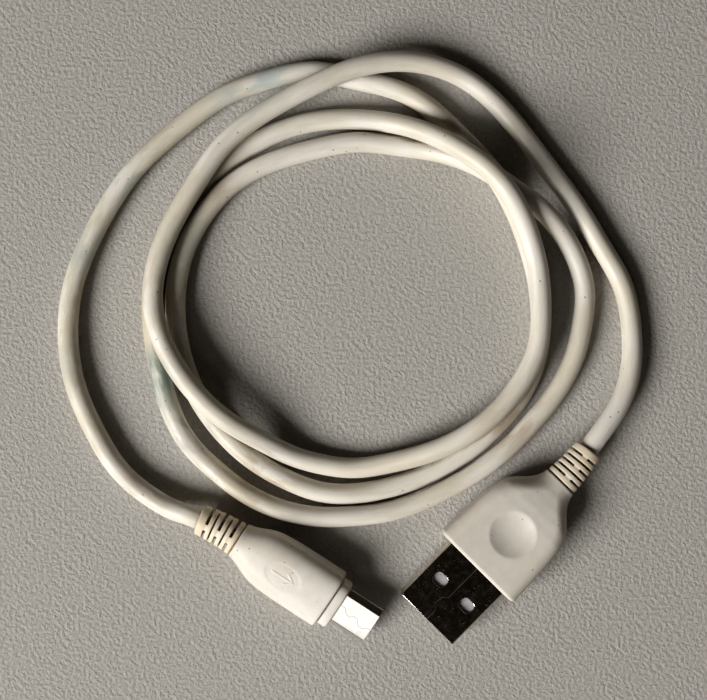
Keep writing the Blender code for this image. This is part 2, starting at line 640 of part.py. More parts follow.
def make_full_size_plug(looks):
    plug = empty("usb_a_plug", Matrix.Translation((0.0, 0.0, A_AXIS_Z)))
    make_a_shell(plug, looks["steel"])
    make_a_insulator(plug, looks["insulator"])
    make_a_contacts(plug, looks["gold"])
    make_a_inner_mould(plug, looks["mould"])
    make_a_shield_can(plug, looks["steel"])
    make_a_wiring(plug, looks)
    make_a_grip(plug, looks["grip"])
    strain_relief("usb_a_strain_relief", plug, looks["cream"], A_RELIEF_LENGTH - GAP,
                  A_RELIEF_D, A_RELIEF_TURN, A_GRIP_BACK - GAP)
    return plug


# ---------------------------------------------------------------- micro-B plug

def b_shell_outline(inset):
    """(y, z) points of the shell's section: wide below, with its upper corners cut away."""
    wide, half = B_SHELL_WIDE / 2 - inset, B_SHELL_HEIGHT / 2 - inset
    narrow = B_SHELL_NARROW / 2 - inset * 0.45
    ease = B_SHELL_EASE
    right = [(wide - ease, -half), (wide, -half + ease), (wide, ease / 4),
             (narrow + 0.7 * ease, half - ease), (narrow - ease, half)]
    return right + [(-y, z) for y, z in right[::-1]]


def make_b_shell(parent, look):
    bm = bmesh.new()
    prism(bm, b_shell_outline(0.0), -B_SHELL_LENGTH, 0.0)
    shell = from_bmesh("micro_b_shell", bm, look, parent)
    bore_out(shell, "hollow", b_shell_outline(B_SHELL_WALL), -B_SHELL_LENGTH - MM, MM)
    bm = bmesh.new()
    half, around = B_LATCH_WIDTH / 2 + FINE_GAP, 2 * FINE_GAP
    for side in (-1, 1):
        y = side * B_LATCH_SIDE
        box(bm, (-B_LATCH_FRONT - B_LATCH_HOOK[0] - around, y - half, -B_SHELL_HEIGHT),
            (-B_LATCH_FRONT + around, y + half, -B_SHELL_HEIGHT / 4))
    cut(shell, cutter("micro_b_shell_windows", bm, parent))


def b_contact_y(k):
    """Where contact k lies across the plug, from power (0) to ground (4)."""
    return (k - 2) * B_CONTACT_PITCH


def make_b_insulator(parent, look):
    back, front = B_INSULATOR_X
    bm = bmesh.new()
    box(bm, (back, -B_INSULATOR_WIDTH / 2, B_INSULATOR_LOW), (front, B_INSULATOR_WIDTH / 2, B_CEILING))
    block = from_bmesh("micro_b_insulator", bm, look, parent)
    bm = bmesh.new()
    half = B_CONTACT_WIDTH / 2 + 0.08 * MM
    for k in range(5):
        y = b_contact_y(k)
        box(bm, (back - MM, y - half, B_INSULATOR_LOW - MM),
            (front - 0.5 * MM, y + half, B_CEILING - 0.1 * MM))
    cut(block, cutter("micro_b_insulator_grooves", bm, parent))


def make_b_contacts(parent, look):
    """Five spring strips with a downward bump near their tips; all bend about one line."""
    hinge = empty("micro_b_contact_hinge", Matrix.Translation((B_CONTACT_HINGE_X, 0.0, B_CONTACT_Z)), parent)
    names = ("power", "data_minus", "data_plus", "identification", "ground")
    behind_tip, reach, depth = B_CONTACT_BUMP
    for k, (name, behind) in enumerate(zip(names, B_CONTACT_TIPS)):
        y = b_contact_y(k)
        tip = -behind - B_CONTACT_HINGE_X
        bump = tip - behind_tip
        line = [(-B_CONTACT_ROOT, 0.0), (bump - reach, 0.0), (bump, -depth), (tip, 0.0)]
        below = [(x, z - B_CONTACT_THICK / 2) for x, z in line]
        above = [(x, z + B_CONTACT_THICK / 2) for x, z in line[::-1]]
        bm = bmesh.new()
        slab(bm, below + above, y - B_CONTACT_WIDTH / 2, y + B_CONTACT_WIDTH / 2)
        from_bmesh(f"micro_b_contact_{name}", bm, look, hinge)


def make_b_latches(parent, look):
    """A sprung arm each side, whose hook stands out through the shell's wide face."""
    arm_top = -B_SHELL_HEIGHT / 2 + B_SHELL_WALL + FINE_GAP + B_LATCH_THICK
    hook, drop = B_LATCH_HOOK
    hinge_x = -B_LATCH_FRONT - B_LATCH_LENGTH
    tip = B_LATCH_LENGTH
    profile = [(-B_LATCH_ROOT, 0.0), (tip, 0.0), (tip, -B_LATCH_THICK), (tip - 0.45 * hook, -drop),
               (tip - 0.7 * hook, -drop), (tip - hook, -B_LATCH_THICK), (-B_LATCH_ROOT, -B_LATCH_THICK)]
    for side, word in ((1, "left"), (-1, "right")):
        bm = bmesh.new()
        slab(bm, profile, -B_LATCH_WIDTH / 2, B_LATCH_WIDTH / 2)
        from_bmesh(f"micro_b_latch_{word}", bm, look, parent, at=(hinge_x, side * B_LATCH_SIDE, arm_top))


def make_b_inner_mould(parent, look):
    """A core inside the grip, and the collar in front of it."""
    (collar_w, collar_h), (core_w, core_h) = B_COLLAR_SIZE, B_CORE_SIZE
    ease, step = 0.25 * MM, B_GRIP_FRONT + GAP
    sections = [(B_COLLAR_FRONT, collar_w - 2 * ease, collar_h - 2 * ease),
                (B_COLLAR_FRONT - ease, collar_w, collar_h), (step + GAP / 2, collar_w, collar_h),
                (step, core_w, core_h), (B_CORE_BACK, core_w, core_h)]
    bm = bmesh.new()
    loft_into(bm, [at_x(x, squircle_outline(w, h, B_CORE_SQUARENESS)) for x, w, h in sections])
    mould = from_bmesh("micro_b_inner_mould", bm, look, parent, smooth=35)
    shell_room = rounded_box_outline(B_SHELL_WIDE + 2 * GAP, B_SHELL_HEIGHT + 2 * GAP, 0.5 * MM, 2)
    lead_room = rounded_box_outline(B_LEAD_ROOM[0], B_LEAD_ROOM[1], 0.5 * MM, 2)
    end_wall = 0.8 * MM
    bore_out(mould, "shell_room", shell_room, -B_SHELL_LENGTH - GAP, B_COLLAR_FRONT + MM)
    bore_out(mould, "lead_room", lead_room, B_CORE_BACK + end_wall, -B_SHELL_LENGTH - GAP + OVERCUT)
    bore_out(mould, "bore", circle_outline(B_CORES_BORE, 20), B_CORE_BACK - MM,
             B_CORE_BACK + end_wall + OVERCUT)


def make_b_wiring(parent, looks):
    """The four cores, the crimp ring and the jacket's end."""
    tail_x = B_CONTACT_HINGE_X - B_CONTACT_ROOT - GAP
    meet_x = B_CORE_BACK - 0.8 * MM
    tails = [Vector((tail_x, (k - 1.5) * 1.5 * B_CONTACT_PITCH, B_LEAD_Z)) for k in range(4)]
    cores("micro_b", parent, looks, tails, tail_x - 1.3 * MM, B_CORE_BACK + 1.6 * MM, meet_x,
          B_LEAD_APART, B_LEAD_D)
    crimp_ring("micro_b_crimp_ring", parent, looks["steel"], B_CRIMP_D,
               B_CORE_BACK - B_CRIMP_BEHIND[1], B_CORE_BACK - B_CRIMP_BEHIND[0])
    jacket_end("micro_b_jacket_end", parent, looks["jacket"], B_GRIP_BACK + GAP, meet_x - GAP)


def make_b_grip(parent, look):
    bm = bmesh.new()
    rings = []
    for behind, width, height, power in B_GRIP_SECTIONS:
        rings.append(at_x(B_GRIP_FRONT - behind * MM, squircle_outline(width * MM, height * MM, power)))
    loft_into(bm, rings)
    grip = from_bmesh("micro_b_grip", bm, look, parent, smooth=35)
    core_back, ring_back = B_CORE_BACK - GAP, B_CORE_BACK - B_CRIMP_BEHIND[1] - GAP
    core_room = squircle_outline(B_CORE_SIZE[0] + 2 * GAP, B_CORE_SIZE[1] + 2 * GAP, B_CORE_SQUARENESS, 24)
    bore_out(grip, "core_room", core_room, core_back, B_GRIP_FRONT + MM)
    bore_out(grip, "crimp_room", circle_outline(B_CRIMP_D + 2 * GAP, 20), ring_back, core_back + OVERCUT)
    bore_out(grip, "lead_room", circle_outline(RELIEF_BORE, 20), B_GRIP_BACK - MM, ring_back + OVERCUT)


def winding_frame():
    """Takes a point of the winding's frame into the model's."""
    return Matrix.Rotation(-A_HEADING, 4, "Z") @ Matrix.Translation(-A_PLUG_AT)


def micro_plug_frame():
    """The micro-B plug's own frame, whose origin is in the middle of its shell's mouth."""
    reach = -B_GRIP_BACK
    x = B_GRIP_BACK_AT[0] + reach * math.cos(B_HEADING)
    y = B_GRIP_BACK_AT[1] + reach * math.sin(B_HEADING)
    return (winding_frame() @ Matrix.Translation((x, y, B_AXIS_Z))
            @ Matrix.Rotation(B_HEADING, 4, "Z") @ Matrix.Rotation(B_ROLL, 4, "X"))


def make_micro_plug(looks):
    plug = empty("micro_b_plug", micro_plug_frame())
    make_b_shell(plug, looks["steel"])
    make_b_insulator(plug, looks["insulator"])
    make_b_contacts(plug, looks["gold"])
    make_b_latches(plug, looks["steel"])
    make_b_inner_mould(plug, looks["cream"])
    make_b_wiring(plug, looks)
    make_b_grip(plug, looks["cream"])
    strain_relief("micro_b_strain_relief", plug, looks["cream"], B_RELIEF_LENGTH, B_RELIEF_D,
                  B_RELIEF_TURN, B_GRIP_BACK - GAP)
    return plug


# ---------------------------------------------------------------- the lead

def make_cable(look):
    """The lead's jacket, from the back of one strain relief to the back of the other."""
    to_model = winding_frame()
    a_end = (Matrix.Translation((0.0, 0.0, A_AXIS_Z))
             @ relief_frame(A_RELIEF_LENGTH, A_RELIEF_LENGTH, A_RELIEF_TURN, A_GRIP_BACK))
    b_end = micro_plug_frame() @ relief_frame(B_RELIEF_LENGTH, B_RELIEF_LENGTH, B_RELIEF_TURN,
                                              B_GRIP_BACK - GAP)
    points = [a_end @ Vector((-GAP, 0, 0)), a_end @ Vector((-STRAIGHT_OUT, 0, 0))]
    points += [to_model @ Vector((x * MM, y * MM, z * MM)) for x, y, z in ROUTE]
    points += [b_end @ Vector((-STRAIGHT_OUT, 0, 0)), b_end @ Vector((-GAP, 0, 0))]
    path = evenly_spaced(points, CABLE_POINTS)
    for point in path:
        point.z = max(point.z, CABLE_REST_Z)
    return tube("cable_jacket", path, CABLE_D, look)


def main():
    clear_scene()
    looks = make_materials()
    make_full_size_plug(looks)
    make_micro_plug(looks)
    make_cable(looks["jacket"])


main()
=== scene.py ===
"""The looks of the charging cable: its wound lead, two moulded plugs, their metal shells and the studio.

Lengths are in metres. A plug's pieces are made in its own frame, as the model makes them: X points out
of its mouth and Z is up through its upper face. The winding's frame has X to the right and Y up as the
cable is looked at from above.
"""
import math

import bmesh
import bpy
import numpy as np
from mathutils import Matrix, Vector, noise


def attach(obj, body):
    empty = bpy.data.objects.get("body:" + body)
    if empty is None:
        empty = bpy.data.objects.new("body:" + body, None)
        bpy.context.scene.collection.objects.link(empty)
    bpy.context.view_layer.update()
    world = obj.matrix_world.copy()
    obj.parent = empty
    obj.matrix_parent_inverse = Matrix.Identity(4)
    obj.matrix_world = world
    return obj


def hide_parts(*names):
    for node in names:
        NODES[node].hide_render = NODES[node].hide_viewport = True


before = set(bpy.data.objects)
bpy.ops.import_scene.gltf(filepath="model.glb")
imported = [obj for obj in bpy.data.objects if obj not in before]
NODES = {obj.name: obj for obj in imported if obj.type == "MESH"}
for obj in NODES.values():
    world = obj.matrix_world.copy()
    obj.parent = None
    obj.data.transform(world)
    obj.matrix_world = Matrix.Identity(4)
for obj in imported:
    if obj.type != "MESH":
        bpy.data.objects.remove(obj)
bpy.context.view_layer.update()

MM = 0.001

# The lead
LEAD_D = 3.4 * MM
LEAD_REST_Z = LEAD_D / 2 + 0.05 * MM
LEAD_RING_EVERY = 1.0 * MM
LEAD_SIDES = 28
LEAD_RADIUS_VARIES = 0.012  # as a share of the radius
LEAD_VARIES_EVERY = 7 * MM
STRAIGHT_OUT = 2.0 * MM  # how far the lead leaves each strain relief straight
GAP = 0.3 * MM

# Full-size plug
A_FRONT = 19.2 * MM
A_GRIP_FRONT = 7.5 * MM
A_GRIP_BACK = -12.0 * MM
A_AXIS_Z = 4.0 * MM
A_HALF_HEIGHT = 4.0 * MM
A_SHELL = (18.7 * MM, 12.0 * MM, 4.5 * MM)  # length, width, height
A_SHELL_WALL = 0.3 * MM
A_SHELL_ROUND = 0.6 * MM
A_WINDOW = (2.05 * MM, 2.45 * MM)  # along, across
A_WINDOW_ROUND = 0.75 * MM
A_WINDOW_BEHIND = 6.1 * MM
A_WINDOW_APART = 6.0 * MM
A_DISH_D = 7.8 * MM
A_DISH_DEPTH = 0.76 * MM
A_DISH_BEHIND = 8.0 * MM
A_DISH_SOFTNESS = 0.06 * MM  # how gently the dish meets the face
A_DISH_REACH = 1.6  # where the dish has no effect left, in its radii
A_GRIP_EDGE = 0.6  # the front edge's rounding, in millimetres
A_RELIEF_LENGTH = 7.2 * MM
A_RELIEF_D = (5.7 * MM, 4.75 * MM)  # at the grip, at the end
A_RELIEF_TURN = math.radians(8)

# Sections down the grip, in millimetres: (behind its front, width, height, corner radius)
A_GRIP_SECTIONS = [
    (0.6, 16.1, 8.0, 2.0), (5.0, 15.75, 8.0, 2.0), (9.0, 15.3, 8.0, 2.1), (11.2, 14.8, 8.0, 2.2),
    (12.4, 14.3, 7.9, 2.35), (13.5, 13.6, 7.8, 2.5), (14.4, 12.6, 7.6, 2.7), (15.2, 11.3, 7.4, 2.9),
    (16.1, 9.6, 7.1, 3.0), (17.0, 8.0, 6.8, 3.0), (18.0, 6.75, 6.35, 2.9), (19.0, 6.1, 6.0, 2.85),
    (19.5, 6.0, 5.9, 2.85),
]

# Micro-B plug
B_COLLAR_FRONT = -6.4 * MM
B_GRIP_FRONT = -8.3 * MM
B_GRIP_BACK = -26.2 * MM
B_COLLAR_SIZE = (8.4 * MM, 5.6 * MM)
B_COLLAR_SQUARENESS = 3.2
B_GRIP_EDGE = 0.35  # in millimetres
B_SHELL_LENGTH = 11.0 * MM
B_SHELL_WIDE = 6.85 * MM
B_SHELL_NARROW = 5.0 * MM
B_SHELL_HEIGHT = 1.8 * MM
B_SHELL_WALL = 0.2 * MM
B_SHELL_ROUND = 0.2 * MM
B_LATCH_SIDE = 2.55 * MM
B_LATCH_WINDOW = (-3.44 * MM, -1.66 * MM, 0.84 * MM)  # back, front, width
B_EMBLEM_BEHIND = 8.6  # its middle behind the grip's front, in millimetres
B_EMBLEM = (3.3, 2.15)  # half lengths along and across, in millimetres
B_RELIEF_LENGTH = 7.0 * MM
B_RELIEF_D = (5.8 * MM, 5.0 * MM)
B_RELIEF_TURN = math.radians(11.5)

# Sections down the grip, in millimetres: (behind its front, width, height, squareness)
B_GRIP_SECTIONS = [
    (0.35, 10.2, 6.95, 3.0), (4.0, 10.3, 7.0, 2.8), (8.0, 10.35, 7.0, 2.6), (11.0, 10.1, 6.95, 2.5),
    (12.6, 9.7, 6.85, 2.45), (13.9, 9.0, 6.7, 2.4), (15.0, 8.1, 6.5, 2.3), (16.0, 7.2, 6.25, 2.2),
    (17.0, 6.5, 6.05, 2.1), (17.9, 6.1, 5.95, 2.0),
]

# Strain reliefs
RELIEF_ROWS = 5
RELIEF_PITCH = 1.08 * MM  # also how far the first row is behind the grip
RELIEF_BRIDGE_TURN = 13.5  # half the bridge between two slots, in degrees
RELIEF_BORE = LEAD_D + 0.1 * MM
A_RELIEF_SLOTS = (0.32 * MM, 0.30 * MM)  # width of the slots in pairs, and of the long ones
B_RELIEF_SLOTS = (0.40 * MM, 0.22 * MM)

# Where the plugs lie in the winding's frame
A_PLUG_AT = Vector((25.5 * MM, -30.3 * MM, 0.0))
A_HEADING = math.radians(225.2)
B_GRIP_BACK_AT = (-18.9 * MM, -31.3 * MM)
B_HEADING = math.radians(-33.0)
B_ROLL = math.radians(12.0)
B_AXIS_Z = 3.82 * MM

# The lead's route in millimetres, in the winding's frame, from the full-size plug to the micro-B plug
ROUTE_UP_THE_RIGHT_AND_OVER = [
    (44.3, -8.2, 3.1), (46.0, -2.6, 2.4), (46.1, 3.6, 1.95), (44.5, 11.2, 1.75),
    (41.6, 16.4, 1.75), (37.4, 23.3, 1.75), (32.0, 30.6, 1.75), (25.7, 38.7, 1.75), (18.4, 45.0, 2.2),
    (9.1, 47.5, 3.8), (0.1, 46.1, 5.35), (-6.1, 43.5, 5.6), (-13.5, 39.6, 5.5), (-20.9, 34.0, 5.5),
    (-25.8, 27.3, 5.5), (-29.8, 20.3, 5.5), (-32.3, 13.4, 5.5), (-32.8, 7.4, 5.5), (-31.5, 2.0, 5.5),
    (-28.7, -3.3, 5.5), (-26.1, -6.7, 5.5),
]
ROUTE_INNER_TURN = [
    (-20.9, -11.5, 5.2), (-15.4, -14.8, 3.8), (-10.0, -17.6, 2.2), (-4.7, -19.1, 1.75),
    (0.1, -19.6, 1.75), (6.0, -18.7, 2.5), (11.8, -17.1, 3.8), (18.0, -14.3, 4.8), (23.3, -10.3, 5.4),
    (27.2, -5.6, 5.5), (30.0, 0.0, 5.45), (30.7, 6.5, 5.45), (30.2, 13.1, 5.6), (28.7, 18.5, 6.8),
    (24.9, 25.6, 9.3), (21.7, 29.3, 9.0), (17.6, 32.4, 7.8), (12.5, 35.4, 5.3), (7.3, 37.3, 3.1),
    (0.1, 38.3, 1.9), (-6.2, 38.0, 1.75), (-13.7, 35.7, 1.75), (-19.0, 32.8, 1.75),
]
ROUTE_OUTER_TURN = [
    (-24.1, 29.2, 1.75), (-28.6, 23.8, 1.75), (-32.0, 16.8, 1.75), (-33.5, 8.3, 1.75),
    (-33.1, 1.7, 1.75), (-31.6, -6.0, 1.75), (-27.5, -15.3, 1.75), (-23.3, -19.6, 1.75),
    (-18.5, -23.4, 1.75), (-12.9, -26.2, 1.75), (-6.6, -27.6, 1.75), (-0.1, -27.6, 1.75),
    (7.4, -26.4, 1.75), (14.9, -23.3, 1.75), (22.7, -18.6, 1.75), (29.6, -12.1, 1.75),
    (33.6, -7.0, 1.75), (36.6, -1.3, 1.75), (38.1, 5.0, 1.75), (38.4, 10.0, 1.75), (37.0, 14.9, 2.2),
    (34.0, 19.8, 3.8), (30.7, 23.1, 5.2), (26.4, 26.2, 5.6),
]
ROUTE_MIDDLE_TURN = [
    (22.0, 29.2, 5.5), (14.8, 32.5, 3.0), (7.4, 33.9, 1.75), (0.1, 34.5, 1.75), (-6.2, 33.4, 1.75),
    (-12.5, 31.6, 1.75), (-19.5, 28.1, 1.75), (-24.7, 22.7, 1.75), (-28.1, 16.3, 1.75),
    (-29.6, 8.3, 1.75), (-29.0, 1.0, 1.75), (-26.7, -6.1, 1.75), (-22.8, -12.3, 1.75),
    (-17.5, -17.6, 1.75), (-11.5, -21.3, 1.75), (-5.2, -23.6, 1.75), (1.4, -23.7, 1.75),
    (9.2, -21.8, 1.75), (16.8, -18.1, 1.75), (22.6, -13.7, 1.75), (27.3, -8.3, 1.75),
    (30.5, -0.8, 1.75), (31.1, 5.8, 1.75), (30.5, 11.6, 1.75), (29.0, 17.4, 1.75), (26.2, 24.4, 1.75),
]
ROUTE_OUT_TO_THE_LEFT = [
    (22.2, 30.7, 1.75), (16.9, 36.2, 1.75), (11.2, 41.2, 1.75), (5.6, 43.7, 1.75), (-0.1, 45.0, 1.75),
    (-6.2, 46.2, 1.75), (-13.7, 45.0, 1.75), (-21.2, 42.3, 1.75), (-28.6, 37.2, 1.75),
    (-36.3, 30.1, 1.75), (-42.9, 19.9, 1.75), (-46.4, 11.3, 1.75), (-47.4, 1.8, 1.75),
    (-45.9, -6.8, 1.75), (-43.1, -13.2, 1.75), (-39.9, -18.6, 1.75), (-36.3, -22.4, 1.9),
    (-32.7, -24.9, 2.4), (-29.2, -26.6, 3.1),
]
ROUTE = (ROUTE_UP_THE_RIGHT_AND_OVER + ROUTE_INNER_TURN + ROUTE_OUTER_TURN
         + ROUTE_MIDDLE_TURN + ROUTE_OUT_TO_THE_LEFT)

# How dark each place is painted, from 0 to 1: packed dirt with painted shade in the grooves and round the
# mouth, painted shade alone in the slots
GROOVE_DIRT_AND_SHADE = 0.9  # in the groove where two mouldings meet
MOUTH_DIRT_AND_SHADE = 0.8  # round the hole that a shell comes out of
SLOT_PAINTED_SHADE = 0.32  # in a strain relief's slots

# Steps of the soft edges
EDGE_STEPS = 6
GRIP_EDGE_STEPS = 7

# The studio
CAMERA_HEIGHT = 0.25
LENS, SENSOR = 76.1, 36.0  # in millimetres
LIGHT_DISTANCE = 1.8
KEY_FROM = Vector((-0.66, -0.47, 0.60))  # this and GLOW_FROM are in the winding's frame
KEY_SIZE = 1.0
KEY_POWER = 39.0
GLOW_FROM = Vector((-0.194, -0.474, 0.860))  # for the shine on the micro plug's shell
GLOW_SIZE = 0.54
GLOW_POWER = 0.82
LIGHT_COLOUR = (1.0, 0.985, 0.955)
FLOOR_HALF = 2.0


# ----- frames

def winding_frame():
    """Takes a point of the winding's frame into the model's."""
    return Matrix.Rotation(-A_HEADING, 4, "Z") @ Matrix.Translation(-A_PLUG_AT)


def full_size_plug_frame():
    return Matrix.Translation((0.0, 0.0, A_AXIS_Z))


def micro_plug_frame():
    """The micro-B plug's own frame, whose origin is in the middle of its shell's mouth."""
    reach = -B_GRIP_BACK
    x = B_GRIP_BACK_AT[0] + reach * math.cos(B_HEADING)
    y = B_GRIP_BACK_AT[1] + reach * math.sin(B_HEADING)
    return (winding_frame() @ Matrix.Translation((x, y, B_AXIS_Z))
            @ Matrix.Rotation(B_HEADING, 4, "Z") @ Matrix.Rotation(B_ROLL, 4, "X"))


def relief_frame(distance, length, turn, back):
    """Where a relief's centreline is at that distance behind the grip: it bends evenly by turn."""
    angle = turn * distance / length
    reach = length / turn
    return (Matrix.Translation((back - reach * math.sin(angle), reach * (math.cos(angle) - 1.0), 0.0))
            @ Matrix.Rotation(angle, 4, "Z"))


# ----- meshes

def link(name, data, place=None):
    """A new object in the scene with this data."""
    made = bpy.data.objects.new(name, data)
    bpy.context.scene.collection.objects.link(made)
    if place:
        made.matrix_world = place
    return made


def outward_mesh(name, verts, faces):
    """A mesh whose faces look outward."""
    mesh = bpy.data.meshes.new(name)
    mesh.from_pydata([tuple(v) for v in verts], [], faces)
    bm = bmesh.new()
    bm.from_mesh(mesh)
    bmesh.ops.recalc_face_normals(bm, faces=bm.faces)
    bm.to_mesh(mesh)
    bm.free()
    return mesh


def make_piece(name, verts, faces, look, place, stands_for, sharp=None):
    """Links a smooth-shaded mesh piece that rides on the cable and stands for a CAD node."""
    mesh = outward_mesh(name, verts, faces)
    mesh.shade_smooth()
    if sharp:
        mesh.set_sharp_from_angle(angle=math.radians(sharp))
    mesh.materials.append(look)
    made = link(name, mesh, place)
    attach(made, "cable")
    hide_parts(*stands_for)
    return made


def set_dirt_and_shade(piece, values):
    """How dark each of the piece's points is painted, for packed dirt and painted shade."""
    packed_dirt_and_painted_shade = piece.data.attributes.new("packed_dirt_and_painted_shade", "FLOAT", "POINT")
    packed_dirt_and_painted_shade.data.foreach_set("value", np.asarray(values, np.float32))


def rectangle(x_low, x_high, y_low, y_high):
    return [(x_low, y_low), (x_high, y_low), (x_high, y_high), (x_low, y_high)]


def skin(rings, cap_first=False, cap_last=False):
    """Vertices and faces of a skin through rings of equal point count."""
    count = len(rings[0])
    verts = [point for ring in rings for point in ring]
    faces = []
    for k in range(len(rings) - 1):
        for i in range(count):
            j = (i + 1) % count
            low, high = k * count, (k + 1) * count
            faces.append((low + i, low + j, high + j, high + i))
    if cap_first:
        faces.append(tuple(range(count))[::-1])
    if cap_last:
        faces.append(tuple(range(len(verts) - count, len(verts))))
    return verts, faces


def at_x(x, outline):
    return [(x, y, z) for y, z in outline]


def rounded_polygon(corners, radius, steps=6):
    """The outline through corners, each rounded by an arc."""
    made = []
    for i, corner in enumerate(corners):
        here = Vector(corner)
        before = (Vector(corners[i - 1]) - here).normalized()
        after = (Vector(corners[(i + 1) % len(corners)]) - here).normalized()
        half = before.angle(after) / 2
        centre = here + (before + after).normalized() * radius / math.sin(half)
        first = here + before * radius / math.tan(half) - centre
        last = here + after * radius / math.tan(half) - centre
        turn = first.angle_signed(last)
        for k in range(steps + 1):
            made.append(tuple(centre + Matrix.Rotation(-turn * k / steps, 2) @ first))
    return made


def rounded_box(width, height, radius, across=1, up=1, corner=8):
    """(y, z) points of a rounded box, with so many steps along its faces, its sides and its corners."""
    arcs = []
    for quarter, (a, b) in enumerate(((1, 1), (-1, 1), (-1, -1), (1, -1))):
        y, z = (width / 2 - radius) * a, (height / 2 - radius) * b
        turns = [math.pi / 2 * (quarter + k / corner) for k in range(corner + 1)]
        arcs.append([(y + radius * math.cos(turn), z + radius * math.sin(turn)) for turn in turns])
    made = []
    for quarter, arc in enumerate(arcs):
        (y, z), (next_y, next_z) = arc[-1], arcs[(quarter + 1) % 4][0]
        steps = up if quarter % 2 else across
        made += arc
        for share in (k / steps for k in range(1, steps)):
            made.append((y + (next_y - y) * share, z + (next_z - z) * share))
    return made


def squircle(width, height, power, count, crowding):
    """(y, z) points of a superellipse, closer together above and below by crowding."""
    made = []
    for i in range(count):
        turn = 2 * math.pi * i / count
        turn += crowding / 2 * math.sin(2 * turn)
        c, s = math.cos(turn), math.sin(turn)
        reach = (abs(c * 2 / width) ** power + abs(s * 2 / height) ** power) ** (-1 / power)
        made.append((reach * c, reach * s))
    return made


def smooth_between(sections, wanted):
    """Rows at the wanted stations by monotone cubic interpolation, which doesn't overshoot."""
    rows = np.array(sections, float)
    x, y, at = rows[:, 0], rows[:, 1:], np.array(wanted, float)
    step = np.diff(x)[:, None]
    rise = np.diff(y, axis=0) / step
    product, total = rise[:-1] * rise[1:], rise[:-1] + rise[1:]
    slope = np.zeros_like(y)
    slope[1:-1] = np.where(product > 0, 2 * product / np.where(total == 0, 1, total), 0)
    slope[0], slope[-1] = rise[0], rise[-1]
    i = np.clip(np.searchsorted(x, at, side="right") - 1, 0, len(x) - 2)
    t = ((at - x[i]) / np.diff(x)[i])[:, None]
    return ((2 * t ** 3 - 3 * t ** 2 + 1) * y[i] + (t ** 3 - 2 * t ** 2 + t) * step[i] * slope[i]
            + (3 * t ** 2 - 2 * t ** 3) * y[i + 1] + (t ** 3 - t ** 2) * step[i] * slope[i + 1])


def smoothstep(low, high, value):
    t = np.clip((value - low) / (high - low), 0.0, 1.0)
    return t * t * (3 - 2 * t)


def cutter(verts, faces, place, look=None):
    """A tool to cut with. The faces that it leaves wear its look, where it has one."""
    mesh = outward_mesh("cutter", verts, faces)
    if look:
        mesh.materials.append(look)
    return link("cutter", mesh, place)


def carve(target, tools, softness=None):
    """Cuts the tools out of the target, softens its edges, and removes the tools."""
    for tool in tools:
        modifier = target.modifiers.new("cut", "BOOLEAN")
        modifier.operation = "DIFFERENCE"
        modifier.solver = "EXACT"
        modifier.material_mode = "TRANSFER" if tool.data.materials else "INDEX"
        modifier.object = tool
    if softness:
        bevel(target, softness, 3)
    settle(target)
    for tool in tools:
        bpy.data.objects.remove(tool, do_unlink=True)


def bevel(target, width, segments):
    modifier = target.modifiers.new("bevel", "BEVEL")
    modifier.width = width
    modifier.segments = segments
    modifier.limit_method = "ANGLE"
    modifier.angle_limit = math.radians(40)
    modifier.harden_normals = True


def settle(target):
    """Makes the modifiers' result the piece's own mesh."""
    bpy.context.view_layer.update()
    graph = bpy.context.evaluated_depsgraph_get()
    mesh = bpy.data.meshes.new_from_object(target.evaluated_get(graph), depsgraph=graph)
    target.modifiers.clear()
    target.data = mesh


def prism(outline, low, high, axis="X"):
    """Vertices and faces of a straight prism between two stations along X or Z."""
    rings = [[(at, a, b) if axis == "X" else (a, b, at) for a, b in outline] for at in (low, high)]
    return skin(rings, True, True)


def seam_cutter(line, width, low, high, place, look):
    """A thin wall along an (x, y) line: the seam that it leaves is that wide, with dust packed in it."""
    rings = []
    for i, point in enumerate(line):
        here = Vector(point)
        before = (here - Vector(line[i - 1])).normalized() if i else None
        after = (Vector(line[i + 1]) - here).normalized() if i < len(line) - 1 else None
        along = ((before or after) + (after or before)).normalized()
        out = Vector((-along.y, along.x)) * width / 2
        left, right = here + out, here - out
        rings.append([(left.x, left.y, low), (right.x, right.y, low),
                      (right.x, right.y, high), (left.x, left.y, high)])
    return cutter(*skin(rings, True, True), place, look)


# ----- materials

